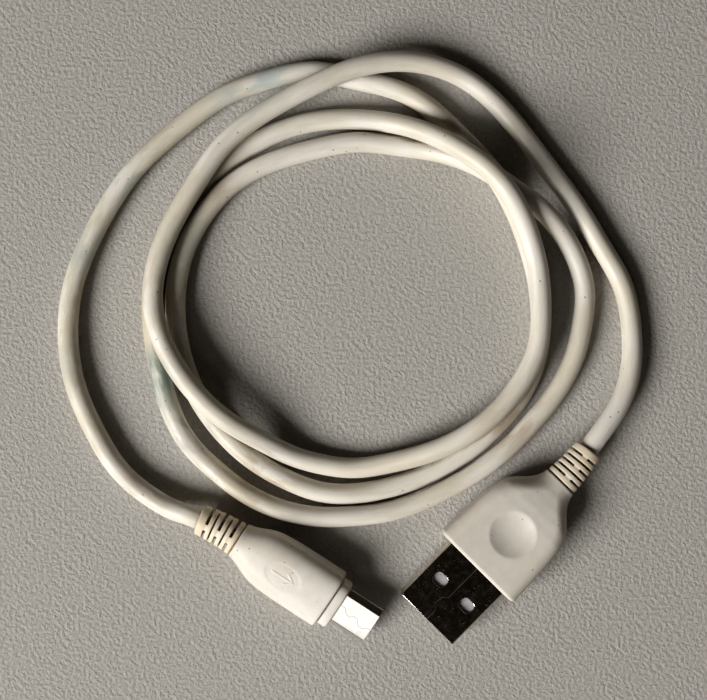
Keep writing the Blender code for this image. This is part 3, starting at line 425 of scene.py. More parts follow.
class Recipe:
    """A material under way. Each call adds a node and gives back its output."""

    def __init__(self, name):
        self.material = bpy.data.materials.new(name)
        self.material.use_nodes = True
        self.tree = self.material.node_tree
        self.shader = self.tree.nodes["Principled BSDF"]

    def node(self, kind, inputs=None, **settings):
        made = self.tree.nodes.new(kind)
        for key, value in settings.items():
            setattr(made, key, value)
        for key, value in (inputs or {}).items():
            self.put(made.inputs[key], value)
        return made

    def put(self, socket, value):
        if isinstance(value, bpy.types.NodeSocket):
            self.tree.links.new(value, socket)
        elif hasattr(value, "__len__") and socket.type == "RGBA":
            socket.default_value = (*value, 1.0)
        else:
            socket.default_value = value

    def finish(self, **inputs):
        for key, value in inputs.items():
            self.put(self.shader.inputs[key.replace("_", " ")], value)
        return self.material

    def place(self):
        return self.node("ShaderNodeTexCoord").outputs["Object"]

    def attribute(self, name, output="Fac"):
        return self.node("ShaderNodeAttribute", attribute_name=name).outputs[output]

    def stretch(self, vector, x, y=1.0):
        return self.node("ShaderNodeMapping", {"Vector": vector, "Scale": (x, y, 1.0)}).outputs[0]

    def noise(self, vector, size, detail=3.0, roughness=0.55, distortion=0.0):
        """Noise whose features are about that size, in metres."""
        return self.node("ShaderNodeTexNoise", {
            "Vector": vector, "Scale": 1.0 / size, "Detail": detail, "Roughness": roughness,
            "Distortion": distortion}).outputs[0]

    def cells(self, vector, size):
        """Distance to the nearest of points about that far apart, as a share of it."""
        made = self.node("ShaderNodeTexVoronoi", {"Vector": vector, "Scale": 1.0 / size})
        return made.outputs["Distance"]

    def between(self, value, low, high, to_low=0.0, to_high=1.0):
        return self.node("ShaderNodeMapRange", {
            "Value": value, "From Min": low, "From Max": high, "To Min": to_low, "To Max": to_high},
            interpolation_type="SMOOTHSTEP").outputs[0]

    def sum(self, operation, a, b):
        made = self.node("ShaderNodeMath", operation=operation)
        self.put(made.inputs[0], a)
        self.put(made.inputs[1], b)
        return made.outputs[0]

    def mix(self, share, a, b):
        made = self.node("ShaderNodeMix", data_type="RGBA")
        self.put(made.inputs["Factor"], share)
        self.put(made.inputs[6], a)
        self.put(made.inputs[7], b)
        return made.outputs[2]

    def tinted(self, colour, where, share, tint):
        """The colour, turned towards a tint by a share of where."""
        return self.mix(self.sum("MULTIPLY", where, share), colour, tint)

    def bump(self, height, distance, strength=1.0, under=None):
        made = self.node("ShaderNodeBump", {"Height": height, "Distance": distance, "Strength": strength})
        if under:
            self.put(made.inputs["Normal"], under)
        return made.outputs[0]

    def specks(self, place, apart, size):
        """Small round spots about apart from each other, over parts of the surface only."""
        spot = self.between(self.cells(place, apart), size / apart, 0.55 * size / apart)
        where = self.between(self.noise(place, 2.3 * apart, 1.0), 0.44, 0.50)
        return self.sum("MULTIPLY", spot, where)


# How light goes into the soft plastics
TRANSLUCENT = {"Subsurface_Weight": 0.12, "Subsurface_Radius": (1.0, 0.75, 0.5),
               "Subsurface_Scale": 0.9 * MM}


def darker(colour, share):
    return [share * c for c in colour]


def soft_plastic(name, base, stain, dirt_and_shade, roughness=0.46, worn=0.35, specked=0.7):
    """Moulded soft plastic: yellowed in patches, with fine orange peel, dark specks, and packed dirt with
    painted shade where the piece's mask marks it.
    """
    r = Recipe(name)
    place = r.place()
    patches = r.between(r.noise(place, 9 * MM, 4.0, 0.6), 0.38, 0.66)
    colour = r.tinted(base, patches, worn, stain)
    mottle = r.between(r.noise(place, 1.4 * MM, 3.0), 0.35, 0.75)
    colour = r.tinted(colour, mottle, 0.22, darker(stain, 0.86))
    colour = r.tinted(colour, r.specks(place, 1.9 * MM, 0.16 * MM), specked, darker(dirt_and_shade, 0.18))
    uneven = r.between(r.noise(place, 1.1 * MM), 0.25, 0.6, 0.6, 1.0)
    # packed dirt and painted shade: darker where the piece's mask says so
    colour = r.tinted(colour, r.attribute("packed_dirt_and_painted_shade"), uneven, dirt_and_shade)
    peel = r.bump(r.noise(place, 0.55 * MM, 2.0), 0.012 * MM, 0.8)
    grain = r.bump(r.noise(place, 0.09 * MM, 2.0), 0.003 * MM, 0.7, peel)
    rough = r.between(r.noise(place, 3.1 * MM), 0.3, 0.7, roughness - 0.06, roughness + 0.08)
    return r.finish(Base_Color=colour, Roughness=rough, Normal=grain, Specular_IOR_Level=0.4,
                    **TRANSLUCENT)


def lead_plastic(name, base, stain, dirt_and_shade, smudges):
    """The jacket: like soft plastic, but streaked along the lead, with smears of coloured dirt, and
    painted shade with dirt where strands touch and inside the reliefs.
    """
    r = Recipe(name)
    place = r.place()
    along = r.attribute("lengthwise", "Vector")
    streaks = r.between(r.noise(r.stretch(along, 0.16), 1.6 * MM, 4.0, 0.6), 0.40, 0.70)
    patches = r.between(r.noise(along, 24 * MM, 3.0), 0.40, 0.62)
    colour = r.tinted(base, patches, 0.65, stain)
    colour = r.tinted(colour, streaks, 0.40, darker(stain, 0.78))
    for at, reach, tint, share in smudges:
        offset = r.node("ShaderNodeVectorMath", {0: place, 1: at}, operation="DISTANCE").outputs["Value"]
        near = r.between(offset, reach, 0.2 * reach)
        broken = r.between(r.noise(r.stretch(along, 0.35), 2.2 * MM, 4.0), 0.38, 0.62)
        colour = r.tinted(colour, r.sum("MULTIPLY", near, broken), share, tint)
    scuffs = r.between(r.noise(r.stretch(along, 0.10), 0.5 * MM, 3.0, 0.7), 0.70, 0.80)
    colour = r.tinted(colour, scuffs, 0.55, darker(dirt_and_shade, 0.35))
    colour = r.tinted(colour, r.specks(place, 2.2 * MM, 0.17 * MM), 0.7, darker(dirt_and_shade, 0.2))
    broken = r.between(r.noise(r.stretch(along, 0.25), 1.2 * MM, 3.0), 0.35, 0.62)
    # painted shade with dirt where strands touch, and painted shade inside the reliefs
    colour = r.tinted(colour, r.attribute("packed_dirt_and_painted_shade"), broken, dirt_and_shade)
    peel = r.bump(r.noise(r.stretch(along, 0.5), 0.9 * MM, 2.0), 0.016 * MM, 0.8)
    grain = r.bump(r.noise(along, 0.10 * MM, 2.0), 0.003 * MM, 0.7, peel)
    rough = r.between(r.noise(along, 3.0 * MM), 0.3, 0.7, 0.38, 0.52)
    return r.finish(Base_Color=colour, Roughness=rough, Normal=grain, Specular_IOR_Level=0.45,
                    **TRANSLUCENT)


def plated_steel(name, colour, tarnish, roughness, dusty):
    """Polished plating with hairline scratches, faint tarnish and settled dust."""
    r = Recipe(name)
    place = r.place()
    tarnished = r.between(r.noise(place, 4.2 * MM, 4.0, 0.6), 0.42, 0.72)
    metal = r.tinted(colour, tarnished, 0.5, tarnish)
    dust = r.sum("MULTIPLY", r.between(r.cells(place, 0.55 * MM), 0.15, 0.06),
                 r.between(r.noise(place, 1.5 * MM, 2.0), 0.48, 0.62))
    dust = r.sum("MULTIPLY", dust, 0.7 * dusty)
    film = r.between(r.noise(place, 1.1 * MM, 5.0, 0.75), 0.42, 0.78, 0.0, 0.05 * dusty)
    cover = r.sum("MAXIMUM", dust, film)
    shown = r.mix(cover, metal, (0.23, 0.14, 0.075))
    hairlines = r.noise(r.stretch(place, 0.05), 0.12 * MM, 2.0)
    crossing = r.noise(r.stretch(place, 1.0, 0.06), 0.15 * MM, 2.0)
    scratched = r.bump(r.sum("ADD", hairlines, crossing), 0.0016 * MM, 0.5)
    waves = r.bump(r.noise(place, 3.5 * MM, 1.0), 0.006 * MM, 0.6, scratched)
    rough = r.between(r.noise(place, 1.8 * MM, 3.0), 0.35, 0.7, roughness, roughness + 0.07)
    rough = r.sum("MAXIMUM", rough, r.sum("MULTIPLY", cover, 0.8))
    metallic = r.sum("SUBTRACT", 1.0, r.sum("MULTIPLY", cover, 0.9))
    return r.finish(Base_Color=shown, Metallic=metallic, Roughness=rough, Normal=waves)


def hard_plastic(name, base, shade, roughness=0.34):
    """The insulators' hard plastic, a little grey where it has been rubbed."""
    r = Recipe(name)
    place = r.place()
    colour = r.mix(r.between(r.noise(place, 2.0 * MM, 3.0), 0.35, 0.65), base, shade)
    colour = r.tinted(colour, r.specks(place, 1.2 * MM, 0.12 * MM), 0.6, darker(shade, 0.3))
    peel = r.bump(r.noise(place, 0.4 * MM, 2.0), 0.006 * MM, 0.6)
    rough = r.between(r.noise(place, 1.0 * MM), 0.3, 0.7, roughness, roughness + 0.12)
    return r.finish(Base_Color=colour, Roughness=rough, Normal=peel)


def gold_plating():
    r = Recipe("gold_plating")
    place = r.place()
    worn = r.between(r.noise(r.stretch(place, 0.3), 0.8 * MM, 3.0), 0.45, 0.70)
    colour = r.tinted((0.86, 0.60, 0.24), worn, 0.6, (0.62, 0.46, 0.26))
    scratched = r.bump(r.noise(r.stretch(place, 0.05), 0.10 * MM, 2.0), 0.002 * MM, 0.6)
    rough = r.between(worn, 0.0, 1.0, 0.20, 0.36)
    return r.finish(Base_Color=colour, Metallic=1.0, Roughness=rough, Normal=scratched)


def core_insulation(name, colour):
    """The thin coloured skin of a core, with the faint twist of its strands under it."""
    r = Recipe(name)
    place = r.place()
    shade = r.between(r.noise(place, 1.3 * MM, 2.0), 0.3, 0.7)
    skin_colour = r.tinted(colour, shade, 0.3, darker(colour, 0.6))
    strands = r.bump(r.noise(r.stretch(place, 0.2), 0.25 * MM, 1.0), 0.01 * MM, 0.6)
    rough = r.between(r.noise(place, 0.7 * MM), 0.3, 0.7, 0.34, 0.46)
    return r.finish(Base_Color=skin_colour, Roughness=rough, Normal=strands)


def floor_cloth():
    """A plain pale covering with a pebbled grain."""
    r = Recipe("pale_floor")
    place = r.place()
    pebbles = r.noise(place, 0.62 * MM, 2.0, 0.5, 0.15)
    fine = r.noise(place, 0.26 * MM, 2.0)
    colour = r.mix(r.between(pebbles, 0.3, 0.7), (0.400, 0.383, 0.358), (0.458, 0.439, 0.411))
    grain = r.bump(fine, 0.06 * MM, 0.8, r.bump(pebbles, 0.25 * MM, 1.0))
    return r.finish(Base_Color=colour, Roughness=0.62, Normal=grain, Specular_IOR_Level=0.35)


def lead_smudges():
    """Where the jacket is smeared: (place, reach, colour, share)."""
    blue, teal = (0.32, 0.43, 0.45), (0.13, 0.21, 0.20)
    brown, yellow = (0.26, 0.165, 0.08), (0.50, 0.425, 0.29)
    places = [
        (-46.0, 0.0, 28, yellow, 0.55), (-33.0, 12.0, 20, yellow, 0.35), (-20.0, -22.0, 16, yellow, 0.50),
        (-36.0, 31.0, 18, yellow, 0.40), (-17.3, 44.6, 11, blue, 0.55), (-37.6, 28.6, 9, blue, 0.42),
        (-44.8, 16.6, 8, blue, 0.40), (-31.4, -4.0, 7, teal, 0.80), (-28.0, -12.5, 7, teal, 0.65),
        (-28.0, 17.5, 9, blue, 0.25), (-46.9, -3.0, 7, blue, 0.22), (25.4, -11.0, 9, brown, 0.50),
        (-23.9, 26.8, 7, brown, 0.40), (-34.0, -22.4, 8, brown, 0.40), (-14.5, -20.5, 7, brown, 0.40),
    ]
    return [(winding_frame() @ Vector((x * MM, y * MM, 2 * MM)), reach * MM, tint, share)
            for x, y, reach, tint, share in places]


CORE_COLOURS = {"red": (0.55, 0.03, 0.02), "white": (0.75, 0.75, 0.72), "green": (0.03, 0.30, 0.06),
                "black": (0.025, 0.025, 0.025)}


def make_materials():
    cream, yellowed, dirt_and_shade = (0.735, 0.70, 0.645), (0.67, 0.60, 0.495), (0.125, 0.072, 0.032)
    return {
        "grip": soft_plastic("full_size_grip_plastic", (0.69, 0.65, 0.59), (0.62, 0.565, 0.48), dirt_and_shade),
        "cream": soft_plastic("cream_plastic", cream, yellowed, dirt_and_shade, 0.44),
        "relief": soft_plastic("relief_plastic", (0.82, 0.74, 0.62), (0.70, 0.57, 0.39), dirt_and_shade, 0.48, 0.75),
        "jacket": lead_plastic("lead_plastic", (0.78, 0.745, 0.685), (0.66, 0.60, 0.48), dirt_and_shade,
                               lead_smudges()),
        "steel": plated_steel("nickel_plate", (0.66, 0.61, 0.55), (0.36, 0.22, 0.14), 0.07, 1.0),
        "clean_steel": plated_steel("clean_nickel_plate", (0.86, 0.84, 0.81), (0.74, 0.68, 0.62), 0.12,
                                    0.05),
        "insulator": hard_plastic("white_hard_plastic", (0.45, 0.45, 0.46), (0.34, 0.34, 0.36)),
        "dust": hard_plastic("packed_dust", (0.15, 0.105, 0.065), (0.09, 0.062, 0.04), 0.8),
        "gold": gold_plating(),
        "mould": hard_plastic("milky_plastic", (0.66, 0.64, 0.58), (0.55, 0.52, 0.45), 0.45),
        **{name: core_insulation(f"{name}_core", colour) for name, colour in CORE_COLOURS.items()},
    }


# ----- the lead

def spline_through(points):
    """A function of distance for the natural cubic spline through points, and its whole length."""
    count = len(points)
    knots = [0.0]
    for a, b in zip(points, points[1:]):
        knots.append(knots[-1] + (b - a).length)
    steps = [b - a for a, b in zip(knots, knots[1:])]
    upper, right = [0.0] * count, [Vector() for _ in points]
    for i in range(1, count - 1):
        slope = (points[i + 1] - points[i]) / steps[i] - (points[i] - points[i - 1]) / steps[i - 1]
        pivot = 2 * (steps[i - 1] + steps[i]) - steps[i - 1] * upper[i - 1]
        upper[i] = steps[i] / pivot
        right[i] = (6 * slope - steps[i - 1] * right[i - 1]) / pivot
    curve = [Vector() for _ in points]
    for i in range(count - 2, 0, -1):
        curve[i] = right[i] - upper[i] * curve[i + 1]

    def place(t):
        i = 0
        while i < count - 2 and t > knots[i + 1]:
            i += 1
        h = steps[i]
        u, w = t - knots[i], knots[i + 1] - t
        return (curve[i] * w ** 3 / (6 * h) + curve[i + 1] * u ** 3 / (6 * h)
                + (points[i] / h - curve[i] * h / 6) * w
                + (points[i + 1] / h - curve[i + 1] * h / 6) * u)

    return place, knots[-1]


def lead_path():
    """The lead's centreline, and where it leaves the full-size plug's strain relief."""
    def inside(plug, bend, shares):
        return [(plug @ relief_frame(bend[0] * share, *bend)).translation for share in shares]

    a_plug, a_bend = full_size_plug_frame(), (A_RELIEF_LENGTH, A_RELIEF_TURN, A_GRIP_BACK)
    b_plug, b_bend = micro_plug_frame(), (B_RELIEF_LENGTH, B_RELIEF_TURN, B_GRIP_BACK - GAP)
    a_end = a_plug @ relief_frame(A_RELIEF_LENGTH, *a_bend)
    b_end = b_plug @ relief_frame(B_RELIEF_LENGTH, *b_bend)
    points = inside(a_plug, a_bend, (0.08, 0.4, 0.7))
    points += [a_end @ Vector((-out, 0, 0)) for out in (GAP, STRAIGHT_OUT)]
    points += [winding_frame() @ Vector((x * MM, y * MM, z * MM)) for x, y, z in ROUTE]
    points += [b_end @ Vector((-out, 0, 0)) for out in (STRAIGHT_OUT, GAP)]
    points += inside(b_plug, b_bend, (0.7, 0.4, 0.08))
    place, length = spline_through(points)
    count = round(length / LEAD_RING_EVERY)
    path = [place(length * i / count) for i in range(count + 1)]
    for point in path:
        point.z = max(point.z, LEAD_REST_Z)
    return path, a_end.translation


def tube_rings(path, radius, circle):
    """Rings round a path that don't twist, with a point for each (cosine, sine), and distances."""
    rings, along = [], [0.0]
    for a, b in zip(path, path[1:]):
        along.append(along[-1] + (b - a).length)
    side = Vector((0.0, 0.0, 1.0))
    for i, point in enumerate(path):
        ahead = (path[min(i + 1, len(path) - 1)] - path[max(i - 1, 0)]).normalized()
        side = (side - ahead * side.dot(ahead)).normalized()
        across = ahead.cross(side)
        swell = noise.noise(Vector((along[i] / LEAD_VARIES_EVERY, 3.7, 0.0)))
        varied = radius * (1 + LEAD_RADIUS_VARIES * swell)
        rings.append([point + (side * c + across * s) * varied for c, s in circle])
    return rings, along


def crevice_shade_and_dirt(rings, path, along, reliefs):
    """How dark each point of the lead is painted: shade and dirt where another strand lies on it, and
    painted shade inside the reliefs.
    """
    centres, distance = np.array(path), np.array(along)
    made = []
    for i, ring in enumerate(rings):
        other = centres[np.abs(distance - distance[i]) > 5 * LEAD_D]
        apart = np.linalg.norm(np.array(ring)[:, None, :] - other[None, :, :], axis=2)
        gap = apart.min(axis=1) - LEAD_D / 2
        dirt_and_shade = 1.0 - smoothstep(0.15 * MM, 1.1 * MM, gap)
        from_end = min(distance[i], distance[-1] - distance[i])
        dirt_and_shade = np.maximum(dirt_and_shade, 1.0 - smoothstep(reliefs - 0.6 * MM, reliefs - 0.1 * MM, from_end))
        made.append(dirt_and_shade)
    return np.concatenate(made)


def make_lead(look):
    path, leaves_at = lead_path()
    turns = [2 * math.pi * k / LEAD_SIDES for k in range(LEAD_SIDES)]
    circle = [(math.cos(turn), math.sin(turn)) for turn in turns]
    rings, along = tube_rings(path, LEAD_D / 2, circle)
    verts, faces = skin(rings, True, True)
    piece = make_piece("lead_jacket", verts, faces, look, Matrix.Identity(4),
                       ["cable_jacket"])
    # painted shade with dirt where strands touch, painted shade inside the reliefs
    set_dirt_and_shade(piece, crevice_shade_and_dirt(rings, path, along, A_RELIEF_LENGTH))
    lengthwise = piece.data.attributes.new("lengthwise", "FLOAT_VECTOR", "POINT")
    rows = [(at, c * LEAD_D / 2, s * LEAD_D / 2) for at in along for c, s in circle]
    lengthwise.data.foreach_set("vector", np.array(rows, np.float32).ravel())
    return piece, path, leaves_at


# ----- strain reliefs

def relief_turns():
    """Angles of the lines along a relief, alike in every quarter, with closer ones at a slot's end."""
    edge = RELIEF_BRIDGE_TURN
    quarter = [0, edge / 2, edge - 2.5, edge, edge + 3.5, 25, 35, 45]
    quarter += [90 - angle for angle in quarter[-2:0:-1]]
    return [math.radians(90 * k + angle) for k in range(4) for angle in quarter]


def relief_stations(length, slots):
    """(distance, proudness, row that starts there) of the rings down a relief."""
    starts = ((-0.5, -0.28), (0.02, -0.28), (0.05, -0.05), (0.16, 0.03), (0.5, 0.05))
    ends = ((0.7, 0.04), (0.3, 0.02), (0.08, -0.06), (0.0, -0.22))
    made = [(at * MM, proud * MM, None) for at, proud in starts]
    for row in range(RELIEF_ROWS):
        middle, half = (row + 1) * RELIEF_PITCH, slots[row % 2] / 2
        made += [(middle - half - 0.08 * MM, 0.04 * MM, None), (middle - half, -0.02 * MM, row),
                 (middle + half, -0.02 * MM, None), (middle + half + 0.08 * MM, 0.04 * MM, None)]
        if row < RELIEF_ROWS - 1:
            made.append(((row + 1.5) * RELIEF_PITCH, 0.06 * MM, None))
    return made + [(length - before * MM, proud * MM, None) for before, proud in ends]


def make_relief(name, look, place, node, length, diameters, turn, back, slots):
    """A tapered sleeve of soft ribs: rows of slots by turns through its sides and its faces.

    Its first two rings are inside the grip's end, and the groove behind them is the line between the two.
    """
    stations, turns = relief_stations(length, slots), relief_turns()
    outer, inner = [], []
    for at, proud, _ in stations:
        spot = relief_frame(at, length, turn, back)
        radius = (diameters[0] + (diameters[1] - diameters[0]) * max(at, 0.0) / length) / 2 + proud
        for rings, reach in ((outer, radius), (inner, RELIEF_BORE / 2)):
            rings.append([spot @ Vector((0.0, reach * math.cos(t), reach * math.sin(t))) for t in turns])

    count, rows = len(turns), len(stations)
    bridge = math.sin(math.radians(RELIEF_BRIDGE_TURN))
    open_cells = set()
    for k, (_, _, row) in enumerate(stations):
        for i in range(count if row is not None else 0):
            middle = (turns[i] + (turns + [2 * math.pi])[i + 1]) / 2
            if abs(math.sin(middle) if row % 2 else math.cos(middle)) > bridge:
                open_cells.add((k, i))
    verts = [p for ring in outer + inner for p in ring]
    under = rows * count
    faces = []
    for k in range(rows - 1):
        for i in range(count):
            j = (i + 1) % count
            a, b, c, d = k * count + i, k * count + j, (k + 1) * count + j, (k + 1) * count + i
            if (k, i) not in open_cells:
                faces += [(a, b, c, d), (d + under, c + under, b + under, a + under)]
                continue
            for (first, second), beyond in (((a, b), (k - 1, i)), ((b, c), (k, j)), ((c, d), (k + 1, i)),
                                            ((d, a), (k, (i - 1) % count))):
                if beyond not in open_cells:
                    faces.append((first, second, second + under, first + under))
    for base in (0, (rows - 1) * count):
        for i in range(count):
            j = (i + 1) % count
            faces.append((base + i, base + j, base + j + under, base + i + under))
    piece = make_piece(name, verts, faces, look, place, [node])
    # painted shade with packed dirt in the groove; painted shade in the bore and down the slots
    values = np.zeros(2 * under, np.float32)
    values[:2 * count] = GROOVE_DIRT_AND_SHADE
    values[under:] = 1.0
    for k, i in open_cells:
        for start in (k * count, (k + 1) * count):
            values[[start + i, start + (i + 1) % count]] = SLOT_PAINTED_SHADE
    set_dirt_and_shade(piece, values)
    smooth = piece.modifiers.new("smooth", "SUBSURF")
    smooth.levels = smooth.render_levels = 2
    settle(piece)
    return piece


# ----- full-size plug

def grip_rows(sections, edge, stations):
    """Sections down a grip at more stations, after those of its front edge, rounded by edge."""
    rows = []
    _, width, height, shape = sections[0]
    for k in range(GRIP_EDGE_STEPS):
        angle = math.pi / 2 * k / GRIP_EDGE_STEPS
        inset = 2 * edge * (1 - math.sin(angle))
        rows.append((edge * (1 - math.cos(angle)), width - inset, height - inset, shape))
    return rows + [(at, *row) for at, row in zip(stations, smooth_between(sections, stations))]


def make_a_grip(look):
    def ring(x, width, height, radius):
        return at_x(x, rounded_box(width, height, radius, across=60, up=14, corner=12))

    stations = np.linspace(A_GRIP_SECTIONS[0][0], A_GRIP_SECTIONS[-1][0], 96)
    _, shell_width, shell_height = A_SHELL
    rings = []
    for behind, room in ((2.5 * MM, 0.05 * MM), (0.12 * MM, 0.05 * MM), (0.0, 0.2 * MM)):
        rings.append(ring(A_GRIP_FRONT - behind, shell_width + 2 * room, shell_height + 2 * room,
                          A_SHELL_ROUND + room))
    for behind, width, height, radius in grip_rows(A_GRIP_SECTIONS, A_GRIP_EDGE, stations):
        rings.append(ring(A_GRIP_FRONT - behind * MM, width * MM, height * MM, radius * MM))
    for inset, behind in ((0.12, 0.05), (0.5, 0.08)):
        rings.append(ring(A_GRIP_BACK - behind * MM, (width - inset) * MM, (height - inset) * MM,
                          (radius - inset / 2) * MM))
    bore = RELIEF_BORE + 0.6 * MM
    for deep in (0.0, 2.0 * MM):
        rings.append(ring(A_GRIP_BACK + deep, bore, bore, bore / 2 - 0.01 * MM))
    verts, faces = skin(rings)
    points = np.array(verts)
    from_middle = np.hypot(points[:, 0] - (A_GRIP_FRONT - A_DISH_BEHIND), points[:, 1])
    on_face = np.abs(points[:, 2]) > 0.8 * A_HALF_HEIGHT
    share = from_middle / (A_DISH_D / 2)
    bowl = A_DISH_DEPTH * (1 - share ** 2)
    soft = A_DISH_SOFTNESS
    depth = 0.5 * (bowl + np.sqrt(bowl ** 2 + soft ** 2)) - 0.5 * soft * np.exp(-((share - 1) * 3) ** 2)
    faded = np.maximum(depth, 0.0) * smoothstep(A_DISH_REACH, A_DISH_REACH - 0.4, share)
    depth = np.where(share < A_DISH_REACH, faded, 0.0)
    points[:, 2] -= np.sign(points[:, 2]) * np.where(on_face, depth, 0.0)
    return make_piece("full_size_grip", points, faces, look, full_size_plug_frame(),
                      ["usb_a_grip"], sharp=60)


def make_a_shell(look, dust):
    place = full_size_plug_frame()
    length, width, height = A_SHELL
    back = A_FRONT - length
    wall = A_SHELL_WALL
    verts, faces = prism(rounded_box(width, height, A_SHELL_ROUND), back, A_FRONT)
    shell = make_piece("full_size_shell", verts, faces, look, place, ["usb_a_shell"])
    hollow = rounded_box(width - 2 * wall, height - 2 * wall, A_SHELL_ROUND - wall)
    tools = [cutter(*prism(hollow, back - MM, A_FRONT + MM), place)]
    x, (along, across) = A_FRONT - A_WINDOW_BEHIND, A_WINDOW
    for side in (-1, 1):
        y = side * A_WINDOW_APART / 2
        corners = rectangle(x - along / 2, x + along / 2, y - across / 2, y + across / 2)
        tools.append(cutter(*prism(rounded_polygon(corners, A_WINDOW_ROUND), -height, height, "Z"), place))
    carve(shell, tools, 0.07 * MM)
    seam = [(11.9, 0.0), (4.9, 0.0), (4.35, -0.75), (2.75, -0.95), (2.1, -0.1), (-0.5, 0.0)]
    line = [(A_FRONT - behind * MM, y * MM) for behind, y in seam]
    carve(shell, [seam_cutter(line, 0.08 * MM, height / 2 - 0.03 * MM, height, place, dust)])
    return shell


# ----- micro-B plug

def b_shell_corners(inset):
    wide, half = B_SHELL_WIDE / 2 - inset, B_SHELL_HEIGHT / 2 - inset
    narrow = B_SHELL_NARROW / 2 - inset * 0.45
    right = [(wide, -half), (wide, 0.0), (narrow, half)]
    return right + [(-y, z) for y, z in right[::-1]]


def make_b_shell(look, dust):
    place = micro_plug_frame()
    verts, faces = prism(rounded_polygon(b_shell_corners(0.0), B_SHELL_ROUND), -B_SHELL_LENGTH, 0.0)
    shell = make_piece("micro_shell", verts, faces, look, place, ["micro_b_shell"])
    hollow = rounded_polygon(b_shell_corners(B_SHELL_WALL), B_SHELL_ROUND / 2)
    tools = [cutter(*prism(hollow, -B_SHELL_LENGTH - MM, MM), place)]
    back, front, width = B_LATCH_WINDOW
    for side in (-1, 1):
        low, high = side * B_LATCH_SIDE - width / 2, side * B_LATCH_SIDE + width / 2
        outline = rounded_polygon(rectangle(back, front, low, high), 0.1 * MM, 3)
        tools.append(cutter(*prism(outline, -B_SHELL_HEIGHT, -B_SHELL_HEIGHT / 4, "Z"), place))
    carve(shell, tools, 0.04 * MM)
    seam = [(6.6, 0.5), (5.4, 0.5), (4.9, -0.2), (4.1, -0.45), (3.5, 0.1), (2.8, 0.0), (2.1, -0.85),
            (1.3, -0.95), (0.7, -0.35), (-0.4, -0.35)]
    line = [(-behind * MM, y * MM) for behind, y in seam]
    top = B_SHELL_HEIGHT / 2
    carve(shell, [seam_cutter(line, 0.06 * MM, top - 0.04 * MM, 2 * top, place, dust)])
    return shell


def make_b_collar(look):
    """The step in front of the micro plug's grip, with rounded edges and a close hole for the shell."""
    width, height = B_COLLAR_SIZE
    count, edge, back_edge = 96, 0.5 * MM, 0.22 * MM
    back = B_GRIP_FRONT - 0.9 * MM

    def ring(x, inset):
        return at_x(x, squircle(width - 2 * inset, height - 2 * inset, B_COLLAR_SQUARENESS, count, 0.2))

    hole = squircle(B_SHELL_WIDE + 0.1 * MM, B_SHELL_HEIGHT + 0.1 * MM, 7.0, count, 0.2)
    wider = squircle(B_SHELL_WIDE + 0.5 * MM, B_SHELL_HEIGHT + 0.5 * MM, 6.0, count, 0.2)
    rings = [at_x(B_COLLAR_FRONT - 1.5 * MM, hole), at_x(B_COLLAR_FRONT - 0.15 * MM, hole),
             at_x(B_COLLAR_FRONT, wider)]
    quarter = [math.pi / 2 * k / EDGE_STEPS for k in range(EDGE_STEPS + 1)]
    rings += [ring(B_COLLAR_FRONT - edge * (1 - math.cos(t)), edge * (1 - math.sin(t))) for t in quarter]
    groove = B_GRIP_FRONT + 0.12 * MM
    rings += [ring(groove + back_edge * (1 - math.sin(t)), back_edge * (1 - math.cos(t)))
              for t in quarter]
    rings.append(ring(back, back_edge))
    verts, faces = skin(rings, False, True)
    piece = make_piece("micro_collar", verts, faces, look, micro_plug_frame(),
                       ["micro_b_inner_mould"], sharp=70)
    # packed dirt and painted shade in the groove and inside the shell's hole
    values = np.zeros(len(verts), np.float32)
    values[-count * 3:] = GROOVE_DIRT_AND_SHADE
    values[:2 * count] = MOUTH_DIRT_AND_SHADE
    set_dirt_and_shade(piece, values)
    return piece


def to_line(points, line):
    """Distance of each (x, y) point from the nearest part of a line."""
    nearest = np.full(len(points), 1e9)
    for a, b in zip(line, line[1:]):
        a, b = np.array(a), np.array(b)
        share = np.clip(((points - a) @ (b - a)) / ((b - a) @ (b - a)), 0, 1)
        nearest = np.minimum(nearest, np.linalg.norm(points - a - share[:, None] * (b - a), axis=1))
    return nearest


def emblem_height(x, y):
    """A shallow oval with a plain raised arrow in it that points to the mouth, in millimetres."""
    oval = np.hypot(x / B_EMBLEM[0], y / B_EMBLEM[1])
    sunk = -0.045 * (1 - smoothstep(0.84, 1.08, oval))
    points = np.stack([x, y], axis=1)
    head = to_line(points, [(-0.6, 0.95), (-1.9, 0.0), (-0.6, -0.95)])
    bar = to_line(points, [(-1.7, 0.0), (2.0, 0.0)])
    return sunk + 0.055 * (1 - smoothstep(0.02, 0.26, np.minimum(head, bar)))


